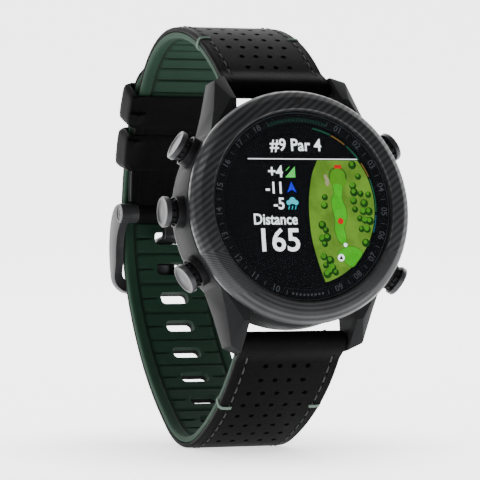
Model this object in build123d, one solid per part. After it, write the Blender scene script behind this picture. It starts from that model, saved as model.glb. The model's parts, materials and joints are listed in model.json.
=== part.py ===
from build123d import *
import os
from math import atan2, cos, degrees, hypot, pi, radians, sin

# Golf GPS watch, buckled and standing on the closed loop of its strap.
# It is drawn about the dial: +Z out of the face, +Y to 12 o'clock, +X to 3 o'clock, with the
# numeral plane at Z = 0. stand() then leans the whole watch back and sets it on its base.

# ---- overall ----
BEZEL_R = 23.0
STRAP_W = 22.0
CASE_R = BEZEL_R - 0.2

# ---- stance ----
LEAN = 9.5                # how far the dial leans back from upright, degrees

# ---- fits ----
RUN = 0.05                # radial running clearance of a shaft in its hole
SEAT = 0.05               # gap between still parts that touch
FREE = 0.3                # gap beside something that moves or flexes

# ---- lens and dial ----
LENS_R = BEZEL_R - 4.3
LENS_T = 0.8
LENS_TOP = 0.5
GASKET_W = 0.45
HOUR_RING_W = 2.2         # printed ring that carries the hole numbers
HOUR_RING_T = 0.7
DIAL_GAP = 0.1            # between lens and hour ring
PANEL_T = 1.3             # round display
PANEL_DROP = 0.3          # its face, below the hour ring
TRAY_T = 0.8

# ---- bezel ----
BEZEL_CREST = 0.8
BEZEL_EDGE_Z = -1.2       # where the bezel is widest
SEAM_Z = -2.5             # bottom of the bezel
SEAM = 0.12
MARK_W = 1.9              # small triangle at 12 o'clock
MARK_H = 1.5

# ---- case ----
CASE_BOTTOM = -12.0
CASE_WALL = 2.6
NECK_WALL = 2.3           # ring inside the bezel
SHELF_T = 1.85            # under the lens, carries the display
COVER_T = 1.3
COVER_INSET = 0.4
COVER_PLUG = 1.1
LUG_TIP_Y = CASE_R + 4.5
LUG_TIP_Z = -8.6
LUG_ROOT_Z = -3.0
LUG_TIP_W = 2.6
LUG_ROOT_W = 4.2

# ---- buttons ----
BUTTONS = {"upper_left": 150, "middle_left": 180, "lower_left": 210, "upper_right": 30, "lower_right": -32}
BUTTON_Z = -7.0
CAP_R = 3.0
CAP_T = 1.3
CAP_OUT = CASE_R + 3.8    # outer face from the middle of the case
NECK_R = 2.1
STEM_R = 1.1
COLLAR_R = 3.1
COLLAR_OUT = CASE_R + 1.4
TRAVEL = 0.7
CLIP_T = 0.3
CLIP_R = 1.8
SWITCH_BACK = CASE_R - 6.6
SWITCH_W = 4.4
SWITCH_H = 3.0

# ---- inside ----
BOARD_T = 0.9
ANTENNA_W = 1.0
BATTERY = (24.0, 20.0, 3.9)
MOTOR_R = 2.0
MOTOR_LEN = 8.0
MOTOR_Y = -14.2
WEIGHT_R = 1.8
WEIGHT_LEN = 3.0
SHAFT_R = 0.4
BUZZER_R = 3.4
BUZZER_Y = 14.6
BUZZER_T = 1.8
SCREW_R = 0.55
SCREW_HEAD_R = 0.95
SCREW_LEN = 3.6
SCREW_COUNT = 4
CONTACT_PITCH = 2.4
CONTACT_R = 0.7

# ---- strap ----
BUCKLE_W = STRAP_W - 2.0  # strap width at the buckle
TAPER_START = -18.0       # depth behind the dial where the sides begin to draw in
TAPER_STOP = 12.0         # straight sides again, this far in front of the buckle pin
LEATHER_T = 1.1
LINING_T = 1.3
PIN_Y = CASE_R + 2.4      # lug pin
PIN_Z = -10.0
STRAP_END_R = 2.1         # leather round the lug pin
BAR_TUBE_R = 0.9
BAR_TIP_R = 0.5
TIP_GRIP = 1.2            # how far a tip sits in its lug
KNOB_R = 0.6
KNOB_X = STRAP_W / 2 - 3.0
LATCH_TRAVEL = 1.4

# each strap leaves its lug pin at a heading in the YZ plane, then follows tangent arcs (radius, turn);
# the arcs are given for a lug pin 25.2 from the middle and grow with the case, so the loop stays closed
LOOP = PIN_Y / 25.2
UPPER_START = -35.3
UPPER_ARCS = [(LOOP * r, turn) for r, turn in ((45.0, -14.8), (39.0, -34.0), (24.0, -64.0), (55.0, -23.7))]
LOWER_START = -136.9
LOWER_ARCS = [(LOOP * r, turn) for r, turn in (
    (54.3, 34.0), (19.1, 53.9), (62.0, 32.4), (39.2, 36.0), (70.0, 13.0), (57.7, 13.0))]
LINING_START = 3.4        # from the lug pin, along the strap
LINING_END = 59.0 * LOOP  # the upper lining stops here and the leather folds back under it
SLOT_W = 6.2
SLOT_L = 2.8
SLOT_PITCH = 6.9
SLOT_COUNT = 10
SLOTS_ABOVE = 2           # between the tang and the tip of the tail
TAIL_HOLE = 98.6 * LOOP   # slot that the tang is in, from the lower lug pin

# ---- buckle and keepers ----
BUCKLE_PIN_R = 1.0
EYE_R = 2.1
EYE_LEN = 3.6             # along the pin
FRAME_W = BUCKLE_W + 4.2
FRAME_CORNER = 4.0
BOW_DROP = 16.4 * LOOP    # from the pin down to the free end of the frame
BOW_H = 2.7
BOW_T = 2.4
BOW_OUT = 8.4 * LOOP      # outer face of the bow, behind the pin
TANG_W = 5.0
TANG_T = 1.1
TANG_REST = 0.3           # tang to the lower end of its slot, clear of the round corners
BARREL_R = 1.9
KEEPER_T = 1.3
FIXED_KEEPER = (9.2, 17.0)       # span along the upper strap, from the buckle pin
LOOSE_KEEPER = (18.8, 26.4)
KEEPER_GAP = 0.35

# ---- travel ----
FRAME_LIFT = 5.0          # buckle frame, degrees off the strap
TANG_LIFT = 8.0           # tang, until it meets the end of its slot

# ---- worked out ----
BEZEL_BORE = LENS_R + 0.15
LENS_BOTTOM = LENS_TOP - LENS_T
RING_TOP = LENS_BOTTOM - DIAL_GAP
RING_OUT = LENS_R - 0.1
RING_IN = RING_OUT - HOUR_RING_W
NECK_TOP = RING_TOP - HOUR_RING_T - SEAT
PANEL_R = RING_IN - 0.15
PANEL_TOP = RING_TOP - PANEL_DROP
PANEL_BOTTOM = PANEL_TOP - PANEL_T
GASKET_OUT = LENS_R + GASKET_W
CAVITY_R = CASE_R - CASE_WALL
NECK_OUT = RING_IN + 0.2 + NECK_WALL + 1.35
SHELF_BOTTOM = NECK_TOP - SHELF_T
TRAY_BOTTOM = SHELF_BOTTOM - SEAT - TRAY_T
BOARD_TOP = TRAY_BOTTOM - 0.2
BOARD_R = CAVITY_R - ANTENNA_W - 0.5
CHASSIS_TOP = BOARD_TOP - BOARD_T - SEAT
CHASSIS_BOTTOM = CASE_BOTTOM + COVER_PLUG + 0.2
CHASSIS_R = CAVITY_R - 0.8
COVER_R = CASE_R - COVER_INSET
COVER_BOTTOM = CASE_BOTTOM - SEAT - COVER_T
SCREW_PCR = (CAVITY_R + COVER_R) / 2
LUG_GAP = STRAP_W / 2 + FREE
NECK_IN_END = COLLAR_OUT - 0.6
SWITCH_FRONT = CASE_R - 4.9
STEM_END = SWITCH_FRONT + 0.3 + TRAVEL + 0.1


# ---- drawing helpers ----
def turned(outline):
    """Ring or disc: a closed outline of (radius, height) turned about Z."""
    points = [(r, 0, z) for r, z in outline]
    return revolve(make_face(Polyline(*points, close=True)), Axis.Z)


def ring(r_in, r_out, z0, z1):
    return turned([(r_in, z0), (r_out, z0), (r_out, z1), (r_in, z1)])


def disc(r, z0, z1, x=0.0, y=0.0):
    return Pos(x, y, (z0 + z1) / 2) * Cylinder(r, z1 - z0)


def block(x0, x1, y0, y1, z0, z1):
    return Pos((x0 + x1) / 2, (y0 + y1) / 2, (z0 + z1) / 2) * Box(x1 - x0, y1 - y0, z1 - z0)


def slab(points, x0, x1):
    """Closed outline of (y, z) points, given thickness along X."""
    face = make_face(Polyline(*[(x0, y, z) for y, z in points], close=True))
    return extrude(face, amount=x1 - x0, dir=(1, 0, 0))


def rod(y, z, r, x0, x1):
    """Round bar along X."""
    return Pos((x0 + x1) / 2, y, z) * Rot(0, 90, 0) * Cylinder(r, x1 - x0)


def radial(angle, r, r0, r1, height=BUTTON_Z):
    """Round bar on a line out from the middle of the case."""
    return Rot(0, 0, angle) * Pos((r0 + r1) / 2, 0, height) * Rot(0, 90, 0) * Cylinder(r, r1 - r0)


def drop(y, z, depth_out, up):
    """The point `depth_out` further from the face and `up` higher than (y, z)."""
    return (y + up, z - depth_out)


# ---- strap path ----
class StrapPath:
    """Line between leather and lining, in the YZ plane. The outside of the loop is on side +1 or -1."""

    def __init__(self, y, z, heading, arcs, side):
        self.side = side
        self.spans = []
        s = 0.0
        for radius, turn in arcs:
            length = radius * abs(radians(turn))
            self.spans.append((s, s + length, y, z, radians(heading), radians(turn) / length))
            s += length
            (y, z), heading = self.step(y, z, radians(heading), radians(turn) / length, length)
            heading = degrees(heading)
        self.length = s

    @staticmethod
    def step(y, z, h, bend, s):
        end = h + bend * s
        return (y + (sin(end) - sin(h)) / bend, z - (cos(end) - cos(h)) / bend), end

    def at(self, s, out=0.0):
        """Point at length s along the line, moved `out` towards the outside of the loop."""
        for span in self.spans:
            if s <= span[1] + 1e-9:
                break
        (y, z), h = self.step(span[2], span[3], span[4], span[5], s - span[0])
        return (y - self.side * out * sin(h), z + self.side * out * cos(h))

    def heading(self, s):
        for span in self.spans:
            if s <= span[1] + 1e-9:
                break
        return degrees(span[4] + span[5] * (s - span[0]))

    def edges(self, s0, s1, out):
        """The stretch from s0 to s1 at one offset, as tangent arcs."""
        made = []
        for start, end, *_ in self.spans:
            a, b = max(start, s0), min(end, s1)
            if b - a > 1e-6:
                made.append(ThreePointArc(*[(0, *self.at(s, out)) for s in (a, (a + b) / 2, b)]))
        return made

    def centre(self, s):
        """Centre of the arc at s."""
        for span in self.spans:
            if s <= span[1] + 1e-9:
                break
        radius = 1 / span[5]
        return (span[2] - radius * sin(span[4]), span[3] + radius * cos(span[4]))


UPPER = StrapPath(PIN_Y, PIN_Z, UPPER_START, UPPER_ARCS, 1)
LOWER = StrapPath(-PIN_Y, PIN_Z, LOWER_START, LOWER_ARCS, -1)
BUCKLE_Y, BUCKLE_Z = UPPER.at(UPPER.length)


def layer(path, s0, s1, inner, outer, width=STRAP_W):
    """One layer of strap between two offsets from the line."""
    ends = [Line((0, *path.at(s, inner)), (0, *path.at(s, outer))) for s in (s0, s1)]
    outline = path.edges(s0, s1, inner) + path.edges(s0, s1, outer) + ends
    return extrude(make_face(outline), amount=width / 2, dir=(1, 0, 0), both=True)


def strap_envelope():
    """Everything inside the tapering side edges of the strap."""
    w, e = STRAP_W / 2, BUCKLE_W / 2
    taper_end, bottom = BUCKLE_Z + TAPER_STOP, BUCKLE_Z - 20.0
    points = [(-w, 0), (w, 0), (w, TAPER_START), (e, taper_end), (e, bottom)]
    points += [(-e, bottom), (-e, taper_end), (-w, TAPER_START)]
    face = make_face(Polyline(*[(x, -70.0, z) for x, z in points], close=True))
    return extrude(face, amount=140.0, dir=(0, 1, 0))


def across(path, s, out, x0, x1, y0, y1, z0, z1):
    """Box set on the strap at s: X across, Y along it, Z to the outside of the loop."""
    y, z = path.at(s, out)
    h = path.heading(s)
    turn = h if path.side > 0 else h + 180
    return Pos(0, y, z) * Rot(turn, 0, 0) * block(x0, x1, y0, y1, z0, z1)


# ---- face ----
def lens():
    body = disc(LENS_R, LENS_BOTTOM, LENS_TOP)
    return chamfer(body.edges().filter_by(GeomType.CIRCLE).sort_by(Axis.Z)[-1], 0.15)


def lens_gasket():
    return ring(LENS_R + SEAT, GASKET_OUT, NECK_TOP + 0.3, LENS_TOP - 0.25)


def hour_ring():
    return ring(RING_IN, RING_OUT, RING_TOP - HOUR_RING_T, RING_TOP)


def display_panel():
    return disc(PANEL_R, PANEL_BOTTOM, PANEL_TOP)


def display_tray():
    plug = disc(RING_IN - 0.1, SHELF_BOTTOM, PANEL_BOTTOM - SEAT)
    return plug + disc(CAVITY_R - 0.2, TRAY_BOTTOM, SHELF_BOTTOM - SEAT) + \
        disc(RING_IN - 0.1, SHELF_BOTTOM - SEAT, SHELF_BOTTOM)


def mark_prism(gap, z0, z1):
    y = (BEZEL_BORE + BEZEL_R) / 2 - 0.1
    w, h = MARK_W / 2 + gap, MARK_H / 2 + gap
    points = [(-w, y - h), (w, y - h), (0, y + h)]
    return extrude(make_face(Polyline(*[(x, v, z0) for x, v in points], close=True)), amount=z1 - z0)


def bezel():
    lip = LENS_TOP - 0.22
    seat_r = GASKET_OUT + SEAT
    neck_r = NECK_OUT + SEAT
    body = turned([
        (BEZEL_BORE, lip), (BEZEL_BORE, BEZEL_CREST - 0.2), (BEZEL_BORE + 0.3, BEZEL_CREST),
        (BEZEL_R - 1.5, BEZEL_CREST - 0.4), (BEZEL_R - 0.35, BEZEL_CREST - 1.3), (BEZEL_R, BEZEL_EDGE_Z),
        (BEZEL_R, SEAM_Z + 0.35), (BEZEL_R - 0.35, SEAM_Z), (neck_r, SEAM_Z), (neck_r, NECK_TOP + SEAT),
        (seat_r, NECK_TOP + SEAT), (seat_r, lip)])
    return body - mark_prism(SEAT, BEZEL_CREST - 0.9, BEZEL_CREST + 1)


def bezel_marker():
    return mark_prism(0, BEZEL_CREST - 0.85, BEZEL_CREST - 0.45)


# ---- case ----
def lug(side, end):
    """One of the four lugs: side -1 or 1 along X, end -1 or 1 along Y."""
    x0 = LUG_GAP
    outline = [(x0, 14.0), (x0, LUG_TIP_Y), (x0 + LUG_TIP_W, LUG_TIP_Y - 1.2),
               (x0 + LUG_ROOT_W, LUG_TIP_Y - 7.6), (x0 + LUG_ROOT_W + 2.4, 12.0)]
    face = make_face(Polyline(*[(x, y, CASE_BOTTOM) for x, y in outline], close=True))
    body = extrude(face, amount=LUG_ROOT_Z - CASE_BOTTOM)
    run = LUG_TIP_Y - CASE_R + 1.0
    slope = atan2(LUG_ROOT_Z - LUG_TIP_Z, run)
    top = Pos(0, CASE_R - 1.0, LUG_ROOT_Z) * Rot(-degrees(slope), 0, 0) * block(-5, 40, -30, 30, 0, 20)
    facet = Pos(x0 + LUG_ROOT_W + 0.6, 16.0, LUG_ROOT_Z) * Rot(0, 0, 32) * Rot(0, 50, 0)
    facet = facet * block(-20, 20, -30, 30, 0, 20)
    body = body - top - facet
    if side < 0:
        body = mirror(body, Plane.YZ)
    if end < 0:
        body = mirror(body, Plane.XZ)
    return body


def case_middle():
    bore = RING_IN + 0.2
    body = turned([
        (bore, NECK_TOP), (NECK_OUT, NECK_TOP), (NECK_OUT, SEAM_Z - SEAM), (CASE_R - 0.5, SEAM_Z - SEAM),
        (CASE_R, SEAM_Z - SEAM - 0.6), (CASE_R, CASE_BOTTOM + 0.5), (CASE_R - 0.3, CASE_BOTTOM),
        (CAVITY_R, CASE_BOTTOM), (CAVITY_R, SHELF_BOTTOM), (bore, SHELF_BOTTOM)])
    inside = disc(CAVITY_R + CASE_WALL / 2, CASE_BOTTOM - 1, SEAM_Z)
    for side in (-1, 1):
        for end in (-1, 1):
            body = body + (lug(side, end) - inside)
    for angle in BUTTONS.values():
        body = body - radial(angle, STEM_R + RUN, CAVITY_R - 2, CASE_R + 3)
        body = body - radial(angle, STEM_R + 0.8, CAVITY_R + 0.5, CAVITY_R + 1.3)
        body = body - radial(angle, COLLAR_R + SEAT, CASE_R - 0.8, CASE_R + 6)
    for y in (-PIN_Y, PIN_Y):
        body = body - rod(y, PIN_Z, BAR_TIP_R + RUN, -LUG_GAP - TIP_GRIP - 0.15, LUG_GAP + TIP_GRIP + 0.15)
    for x, y in screw_places():
        body = body - disc(SCREW_R, CASE_BOTTOM - 1, CASE_BOTTOM + SCREW_LEN, x, y)
    return body


def back_cover():
    body = turned([
        (0, COVER_BOTTOM), (COVER_R - 1.2, COVER_BOTTOM), (COVER_R, COVER_BOTTOM + 0.6),
        (COVER_R, CASE_BOTTOM - SEAT), (CAVITY_R - 0.1, CASE_BOTTOM - SEAT),
        (CAVITY_R - 0.1, CASE_BOTTOM + COVER_PLUG), (0, CASE_BOTTOM + COVER_PLUG)])
    body = body - ring(CAVITY_R - 0.8, CAVITY_R + 0.2, CASE_BOTTOM + 0.2, CASE_BOTTOM + 0.85)
    for x, y in screw_places():
        body = body - disc(SCREW_R + 0.1, COVER_BOTTOM - 1, CASE_BOTTOM + 2, x, y)
        body = body - disc(SCREW_HEAD_R + 0.05, COVER_BOTTOM - 1, COVER_BOTTOM + 0.65, x, y)
    w, h = contact_size()
    return body - block(-w, w, -h, h, COVER_BOTTOM - 1, CASE_BOTTOM + COVER_PLUG + 1)


def back_gasket():
    return ring(CAVITY_R - 0.75, CAVITY_R - 0.05, CASE_BOTTOM + 0.25, CASE_BOTTOM + 0.8)


def screw_places():
    angles = [45 + 360 / SCREW_COUNT * k for k in range(SCREW_COUNT)]
    return [(SCREW_PCR * cos(radians(a)), SCREW_PCR * sin(radians(a))) for a in angles]


def back_screws():
    made = []
    for x, y in screw_places():
        head = disc(SCREW_HEAD_R, COVER_BOTTOM + 0.05, COVER_BOTTOM + 0.6, x, y)
        head = head - disc(SCREW_HEAD_R * 0.45, COVER_BOTTOM, COVER_BOTTOM + 0.35, x, y)
        made.append(head + disc(SCREW_R - 0.03, COVER_BOTTOM + 0.6, CASE_BOTTOM + SCREW_LEN - 0.4, x, y))
    return Compound(made)


def contact_size():
    return CONTACT_PITCH * 1.5 + CONTACT_R + 1.0, CONTACT_R + 1.0


def contact_places():
    return [CONTACT_PITCH * (k - 1.5) for k in range(4)]


def contact_block():
    w, h = contact_size()
    body = block(SEAT - w, w - SEAT, SEAT - h, h - SEAT, COVER_BOTTOM + 0.2, CASE_BOTTOM + COVER_PLUG)
    for x in contact_places():
        body = body - disc(CONTACT_R, COVER_BOTTOM, CASE_BOTTOM + 2, x)
    return body


def charge_contacts():
    top = CASE_BOTTOM + COVER_PLUG
    return Compound([disc(CONTACT_R - 0.02, COVER_BOTTOM + 0.3, top, x) for x in contact_places()])


# ---- inside ----
def main_board():
    body = disc(BOARD_R, BOARD_TOP - BOARD_T, BOARD_TOP)
    chips = [(-7, 4, 6, 6), (3, 3, 8, 5), (6, -4, 4, 4), (-4, -4, 7, 3)]
    for x, y, w, h in chips:
        body = body + block(x - w / 2, x + w / 2, y - h / 2, y + h / 2, BOARD_TOP - BOARD_T - 0.6, BOARD_TOP)
    return body


def antenna_ring():
    body = ring(BOARD_R + 0.15, BOARD_R + 0.15 + ANTENNA_W, BOARD_TOP - BOARD_T, BOARD_TOP)
    return body - block(-1.5, 1.5, 0, CASE_R, BOARD_TOP - 2, BOARD_TOP + 1)


def inner_chassis():
    bx, by, _ = BATTERY
    floor = CHASSIS_BOTTOM + 0.8
    body = disc(CHASSIS_R, CHASSIS_BOTTOM, CHASSIS_TOP)
    body = body - block(-bx / 2 - 0.2, bx / 2 + 0.2, -by / 2 - 0.2, by / 2 + 0.2, floor, 0)
    body = body - disc(BUZZER_R + 0.15, floor, 0, 0, BUZZER_Y)
    wide = MOTOR_R + 0.25
    long = MOTOR_LEN / 2 + WEIGHT_LEN / 2 + 1.0
    body = body - block(-long, long, MOTOR_Y - wide, MOTOR_Y + wide, floor, 0)
    for angle in BUTTONS.values():
        notch = block(SWITCH_BACK - 0.1, CASE_R, -SWITCH_W / 2 - 0.1, SWITCH_W / 2 + 0.1,
                      BUTTON_Z - SWITCH_H / 2 - 0.1, 0)
        body = body - Rot(0, 0, angle) * notch
        body = body - radial(angle, CLIP_R + FREE, CAVITY_R - CLIP_T - TRAVEL - 0.8, CASE_R)
    w, h = contact_size()
    return body - block(-w, w, -h, h, CHASSIS_BOTTOM - 1, CHASSIS_BOTTOM + 0.4)


def battery():
    bx, by, bz = BATTERY
    z0 = CHASSIS_BOTTOM + 0.8 + SEAT
    body = block(-bx / 2, bx / 2, -by / 2, by / 2, z0, z0 + bz)
    return fillet(body.edges().filter_by(Axis.Z), 1.0)


def motor_z():
    return CHASSIS_BOTTOM + 0.8 + MOTOR_R + 0.25


def motor_x():
    return -MOTOR_LEN / 2 - WEIGHT_LEN / 2 - 0.4, MOTOR_LEN / 2 - WEIGHT_LEN / 2 - 0.4


def motor_housing():
    x0, x1 = motor_x()
    body = rod(MOTOR_Y, motor_z(), MOTOR_R, x0, x1)
    return body - rod(MOTOR_Y, motor_z(), SHAFT_R + RUN, x0 + 2, x1 + 1)


def motor_weight():
    """Half-round weight and its shaft."""
    x0, x1 = motor_x()
    shaft = rod(MOTOR_Y, motor_z(), SHAFT_R, x0 + 2.2, x1 + 0.5 + WEIGHT_LEN)
    weight = rod(MOTOR_Y, motor_z(), WEIGHT_R, x1 + 0.5, x1 + 0.5 + WEIGHT_LEN)
    z = motor_z()
    weight = weight - block(x1, x1 + 9, MOTOR_Y - 4, MOTOR_Y + 4, z + SHAFT_R * 0.5, z + 4)
    return shaft + weight


def buzzer():
    z0 = CHASSIS_BOTTOM + 0.8 + SEAT
    return disc(BUZZER_R, z0, z0 + BUZZER_T, 0, BUZZER_Y) - disc(0.6, z0 + 1, z0 + 3, 0, BUZZER_Y)


# ---- buttons ----
def button(angle):
    body = radial(angle, CAP_R, CAP_OUT - CAP_T, CAP_OUT)
    body = chamfer(body.edges().filter_by(GeomType.CIRCLE), 0.25)
    body = body - radial(angle, CAP_R - 0.8, CAP_OUT - 0.15, CAP_OUT + 1)
    body = body + radial(angle, NECK_R, NECK_IN_END, CAP_OUT - CAP_T)
    body = body + radial(angle, STEM_R, STEM_END, NECK_IN_END)
    groove = radial(angle, STEM_R + 1, CAVITY_R - 0.8, CAVITY_R - 0.45)
    return body - (groove - radial(angle, STEM_R - 0.35, CAVITY_R - 1, CAVITY_R))


def button_clip(angle):
    a = CAVITY_R - 0.45 - 0.03
    return radial(angle, CLIP_R, a - CLIP_T + 0.01, a) - radial(angle, STEM_R - 0.33, a - 1, a + 1)


def button_collar(angle):
    inner = CASE_R - 0.8 + SEAT
    body = radial(angle, COLLAR_R, inner, COLLAR_OUT)
    body = body - radial(angle, NECK_R + 0.08, NECK_IN_END - TRAVEL - 0.15, COLLAR_OUT + 1)
    return body - radial(angle, STEM_R + RUN, inner - 1, COLLAR_OUT)


def side_switch(angle):
    w, h = SWITCH_W / 2, SWITCH_H / 2
    body = Rot(0, 0, angle) * block(SWITCH_BACK, SWITCH_FRONT, -w, w, BUTTON_Z - h, BUTTON_Z + h)
    return body + radial(angle, 0.8, SWITCH_FRONT, SWITCH_FRONT + 0.3)


def button_o_rings():
    made = []
    for angle in BUTTONS.values():
        a, b = CAVITY_R + 0.55, CAVITY_R + 1.25
        made.append(radial(angle, STEM_R + 0.75, a, b) - radial(angle, STEM_R + RUN, a - 1, b + 1))
    return Compound(made)


# ---- lug pins ----
def lug_pin(path):
    """Hollow bar with one fixed tip; the latch slides in its other end."""
    y, z = path.at(0)
    end = STRAP_W / 2 - 0.3
    body = rod(y, z, BAR_TUBE_R, -end, end) + rod(y, z, BAR_TIP_R, -LUG_GAP - TIP_GRIP, -end)
    body = body - rod(y, z, BAR_TIP_R + RUN, KNOB_X - LATCH_TRAVEL - 2.2, end + 1)
    reach = KNOB_R + 0.1
    return body - across(path, 0, 0, KNOB_X - LATCH_TRAVEL - reach, KNOB_X + reach, -reach, reach, -4, 0)


def lug_pin_latch(path):
    """Sliding tip and the small knob that draws it in."""
    y, z = path.at(0)
    body = rod(y, z, BAR_TIP_R, KNOB_X - 0.7, LUG_GAP + TIP_GRIP)
    knob = Pos(KNOB_X, 0, -1.55) * Cylinder(KNOB_R, 2.9)
    turn = path.heading(0) if path.side > 0 else path.heading(0) + 180
    return body + Pos(0, y, z) * Rot(turn, 0, 0) * knob


def knob_window(path):
    """Opening in the strap that the latch knob slides in."""
    reach = KNOB_R + FREE
    return across(path, 0, 0, KNOB_X - LATCH_TRAVEL - reach, KNOB_X + reach, -1.2, 1.2, -6, 0)


# ---- strap ----
def strap_end(path):
    """Leather wrapped round the lug pin."""
    y, z = path.at(0)
    return rod(y, z, STRAP_END_R, -STRAP_W / 2, STRAP_W / 2)


def pin_bore(path):
    y, z = path.at(0)
    return rod(y, z, BAR_TUBE_R + SEAT, -STRAP_W, STRAP_W)


def upper_leather():
    """Outer leather, wrapped round the lug pin and folded back under itself at the buckle pin."""
    end = UPPER.length
    fold = BUCKLE_PIN_R + SEAT + LEATHER_T
    body = layer(UPPER, 0.3, end, -0.02, LEATHER_T) + strap_end(UPPER)
    body = body + layer(UPPER, LINING_END + SEAT, end, -LINING_T, 0.0)
    body = body & strap_envelope()
    body = body + rod(BUCKLE_Y, BUCKLE_Z, fold, -BUCKLE_W / 2, BUCKLE_W / 2)
    body = body - pin_bore(UPPER) - knob_window(UPPER)
    body = body - rod(BUCKLE_Y, BUCKLE_Z, BUCKLE_PIN_R + SEAT, -STRAP_W, STRAP_W)
    eye = FRAME_W / 2 - EYE_LEN - FREE
    for side in (-1, 1):
        body = body - rod(BUCKLE_Y, BUCKLE_Z, EYE_R + FREE, *sorted((side * eye, side * STRAP_W)))
    gap = TANG_W / 2 + FREE
    return body - across(UPPER, end, 0, -gap, gap, -fold - 2.0, fold + 3, -fold - 2, fold + 2)


def upper_lining():
    body = layer(UPPER, LINING_START, LINING_END, -LINING_T, -0.04) & strap_envelope()
    return body - knob_window(UPPER)


def slots():
    """Adjustment slots; the tang is in the one at TAIL_HOLE."""
    made = []
    for k in range(SLOT_COUNT):
        s = TAIL_HOLE + (SLOTS_ABOVE - k) * SLOT_PITCH
        w, l = SLOT_W / 2, SLOT_L / 2
        cut = across(LOWER, s, 0, -w, w, -l, l, -3, 3)
        side = [e for e in cut.edges() if abs(e.length - 6) < 1e-6]
        made.append(fillet(side, 1.0))
    return made


def lower_leather():
    body = layer(LOWER, 0.3, LOWER.length, 0.02, LEATHER_T) + strap_end(LOWER)
    body = body & strap_envelope()
    body = body - pin_bore(LOWER) - knob_window(LOWER)
    for cut in slots():
        body = body - cut
    return body


def lower_lining():
    body = layer(LOWER, LINING_START, LOWER.length, -LINING_T, -0.02) & strap_envelope()
    body = body - knob_window(LOWER)
    for cut in slots():
        body = body - cut
    return body


# ---- keepers ----
def nearest(path, y, z):
    """Length along a path of the point closest to (y, z)."""
    steps = 4000
    best = min(range(steps + 1), key=lambda k: hypot(path.at(path.length * k / steps)[0] - y,
                                                     path.at(path.length * k / steps)[1] - z))
    return path.length * best / steps


def keeper(span, gap):
    """Loop round the upper strap and the tail of the lower one."""
    s0, s1 = UPPER.length - span[1], UPPER.length - span[0]
    a = nearest(LOWER, *UPPER.at(s0, LEATHER_T))
    b = nearest(LOWER, *UPPER.at(s1, LEATHER_T))
    inside = -LINING_T - gap
    outside = LEATHER_T + gap

    def loop(grow):
        near, far = UPPER.edges(s0, s1, inside - grow), LOWER.edges(b, a, outside + grow)
        first = Line((0, *UPPER.at(s0, inside - grow)), (0, *LOWER.at(a, outside + grow)))
        last = Line((0, *UPPER.at(s1, inside - grow)), (0, *LOWER.at(b, outside + grow)))
        wide = BUCKLE_W / 2 + 0.5 + gap + grow
        return extrude(make_face(near + far + [first, last]), amount=wide, dir=(1, 0, 0), both=True)

    return loop(KEEPER_T), loop(0.0)


def keeper_band(span, gap):
    outer, inner = keeper(span, gap)
    ends = keeper((span[0] - 1.0, span[1] + 1.0), gap)[1]
    return outer - ends - inner


# ---- buckle ----
def buckle_pin():
    end = FRAME_W / 2 - 0.1
    body = rod(BUCKLE_Y, BUCKLE_Z, BUCKLE_PIN_R, -end, end)
    for side in (-1, 1):
        body = body - rod(BUCKLE_Y, BUCKLE_Z, 0.5, side * end - 0.8, side * end + 0.8)
    return body


def below_pin(depth, up):
    """Point given by how far out from the buckle pin and how far up along the watch it is."""
    return drop(BUCKLE_Y, BUCKLE_Z, depth, up)


def buckle_frame():
    """Two arms with eyes round the pin, joined by a bow outside the lower strap."""
    half = FRAME_W / 2
    back = [below_pin(*p) for p in (
        (0.4, EYE_R - 0.05), (4.4 * LOOP, 1.2 * LOOP), (7.0 * LOOP, -2.2 * LOOP), (BOW_OUT, -7.4 * LOOP),
        (BOW_OUT, -11.6 * LOOP),
        (BOW_OUT - 0.4, 0.5 - BOW_DROP))]
    front = [below_pin(*p) for p in (
        (BOW_OUT - BOW_T, 0.5 - BOW_DROP), (BOW_OUT - BOW_T + 0.1, BOW_H + 0.2 - BOW_DROP), (4.7 * LOOP, -10.4 * LOOP),
        (3.7 * LOOP, -6.4 * LOOP), (1.9 * LOOP, -3.3 * LOOP), (0.4, 0.05 - EYE_R))]
    low = [below_pin(*p) for p in ((BOW_OUT - 1.0, -BOW_DROP), (BOW_OUT - BOW_T + 0.5, -BOW_DROP))]
    edges = [Spline(*[(-half, y, z) for y, z in back]), Spline(*[(-half, y, z) for y, z in front])]
    for run in ([back[-1]] + low + [front[0]], [front[-1], back[0]]):
        edges.append(Polyline(*[(-half, y, z) for y, z in run]))
    body = extrude(make_face(edges), amount=FRAME_W, dir=(1, 0, 0))
    body = plan_corners(body)
    inner = BUCKLE_W / 2 + 0.4
    window = block(-inner, inner, BUCKLE_Y - BOW_DROP + BOW_H, BUCKLE_Y + 9, BUCKLE_Z - 20, BUCKLE_Z + 20)
    window = fillet([e for e in window.edges().filter_by(Axis.Z)
                     if e.center().Y < BUCKLE_Y - BOW_DROP + BOW_H + 0.1], FRAME_CORNER - 2.2)
    body = body - window
    for side in (-1, 1):
        body = body + rod(BUCKLE_Y, BUCKLE_Z, EYE_R, *sorted((side * half, side * (half - EYE_LEN))))
    body = body - rod(BUCKLE_Y, BUCKLE_Z, BUCKLE_PIN_R + RUN, -half - 1, half + 1)
    notch = TANG_W / 2 + 0.2
    z = BUCKLE_Z - BOW_OUT
    return body - block(-notch, notch, BUCKLE_Y - BOW_DROP - 1, BUCKLE_Y - 8, z - 1, z + TANG_T - 0.1)


def plan_corners(body):
    """Round the two free corners of the frame, seen from behind."""
    half, low = FRAME_W / 2, BUCKLE_Y - BOW_DROP
    blank = block(-half, half, low, low + 40, BUCKLE_Z - 20, BUCKLE_Z + 20)
    blank = fillet([e for e in blank.edges().filter_by(Axis.Z) if e.center().Y < low + 1], FRAME_CORNER)
    return body & blank


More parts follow.
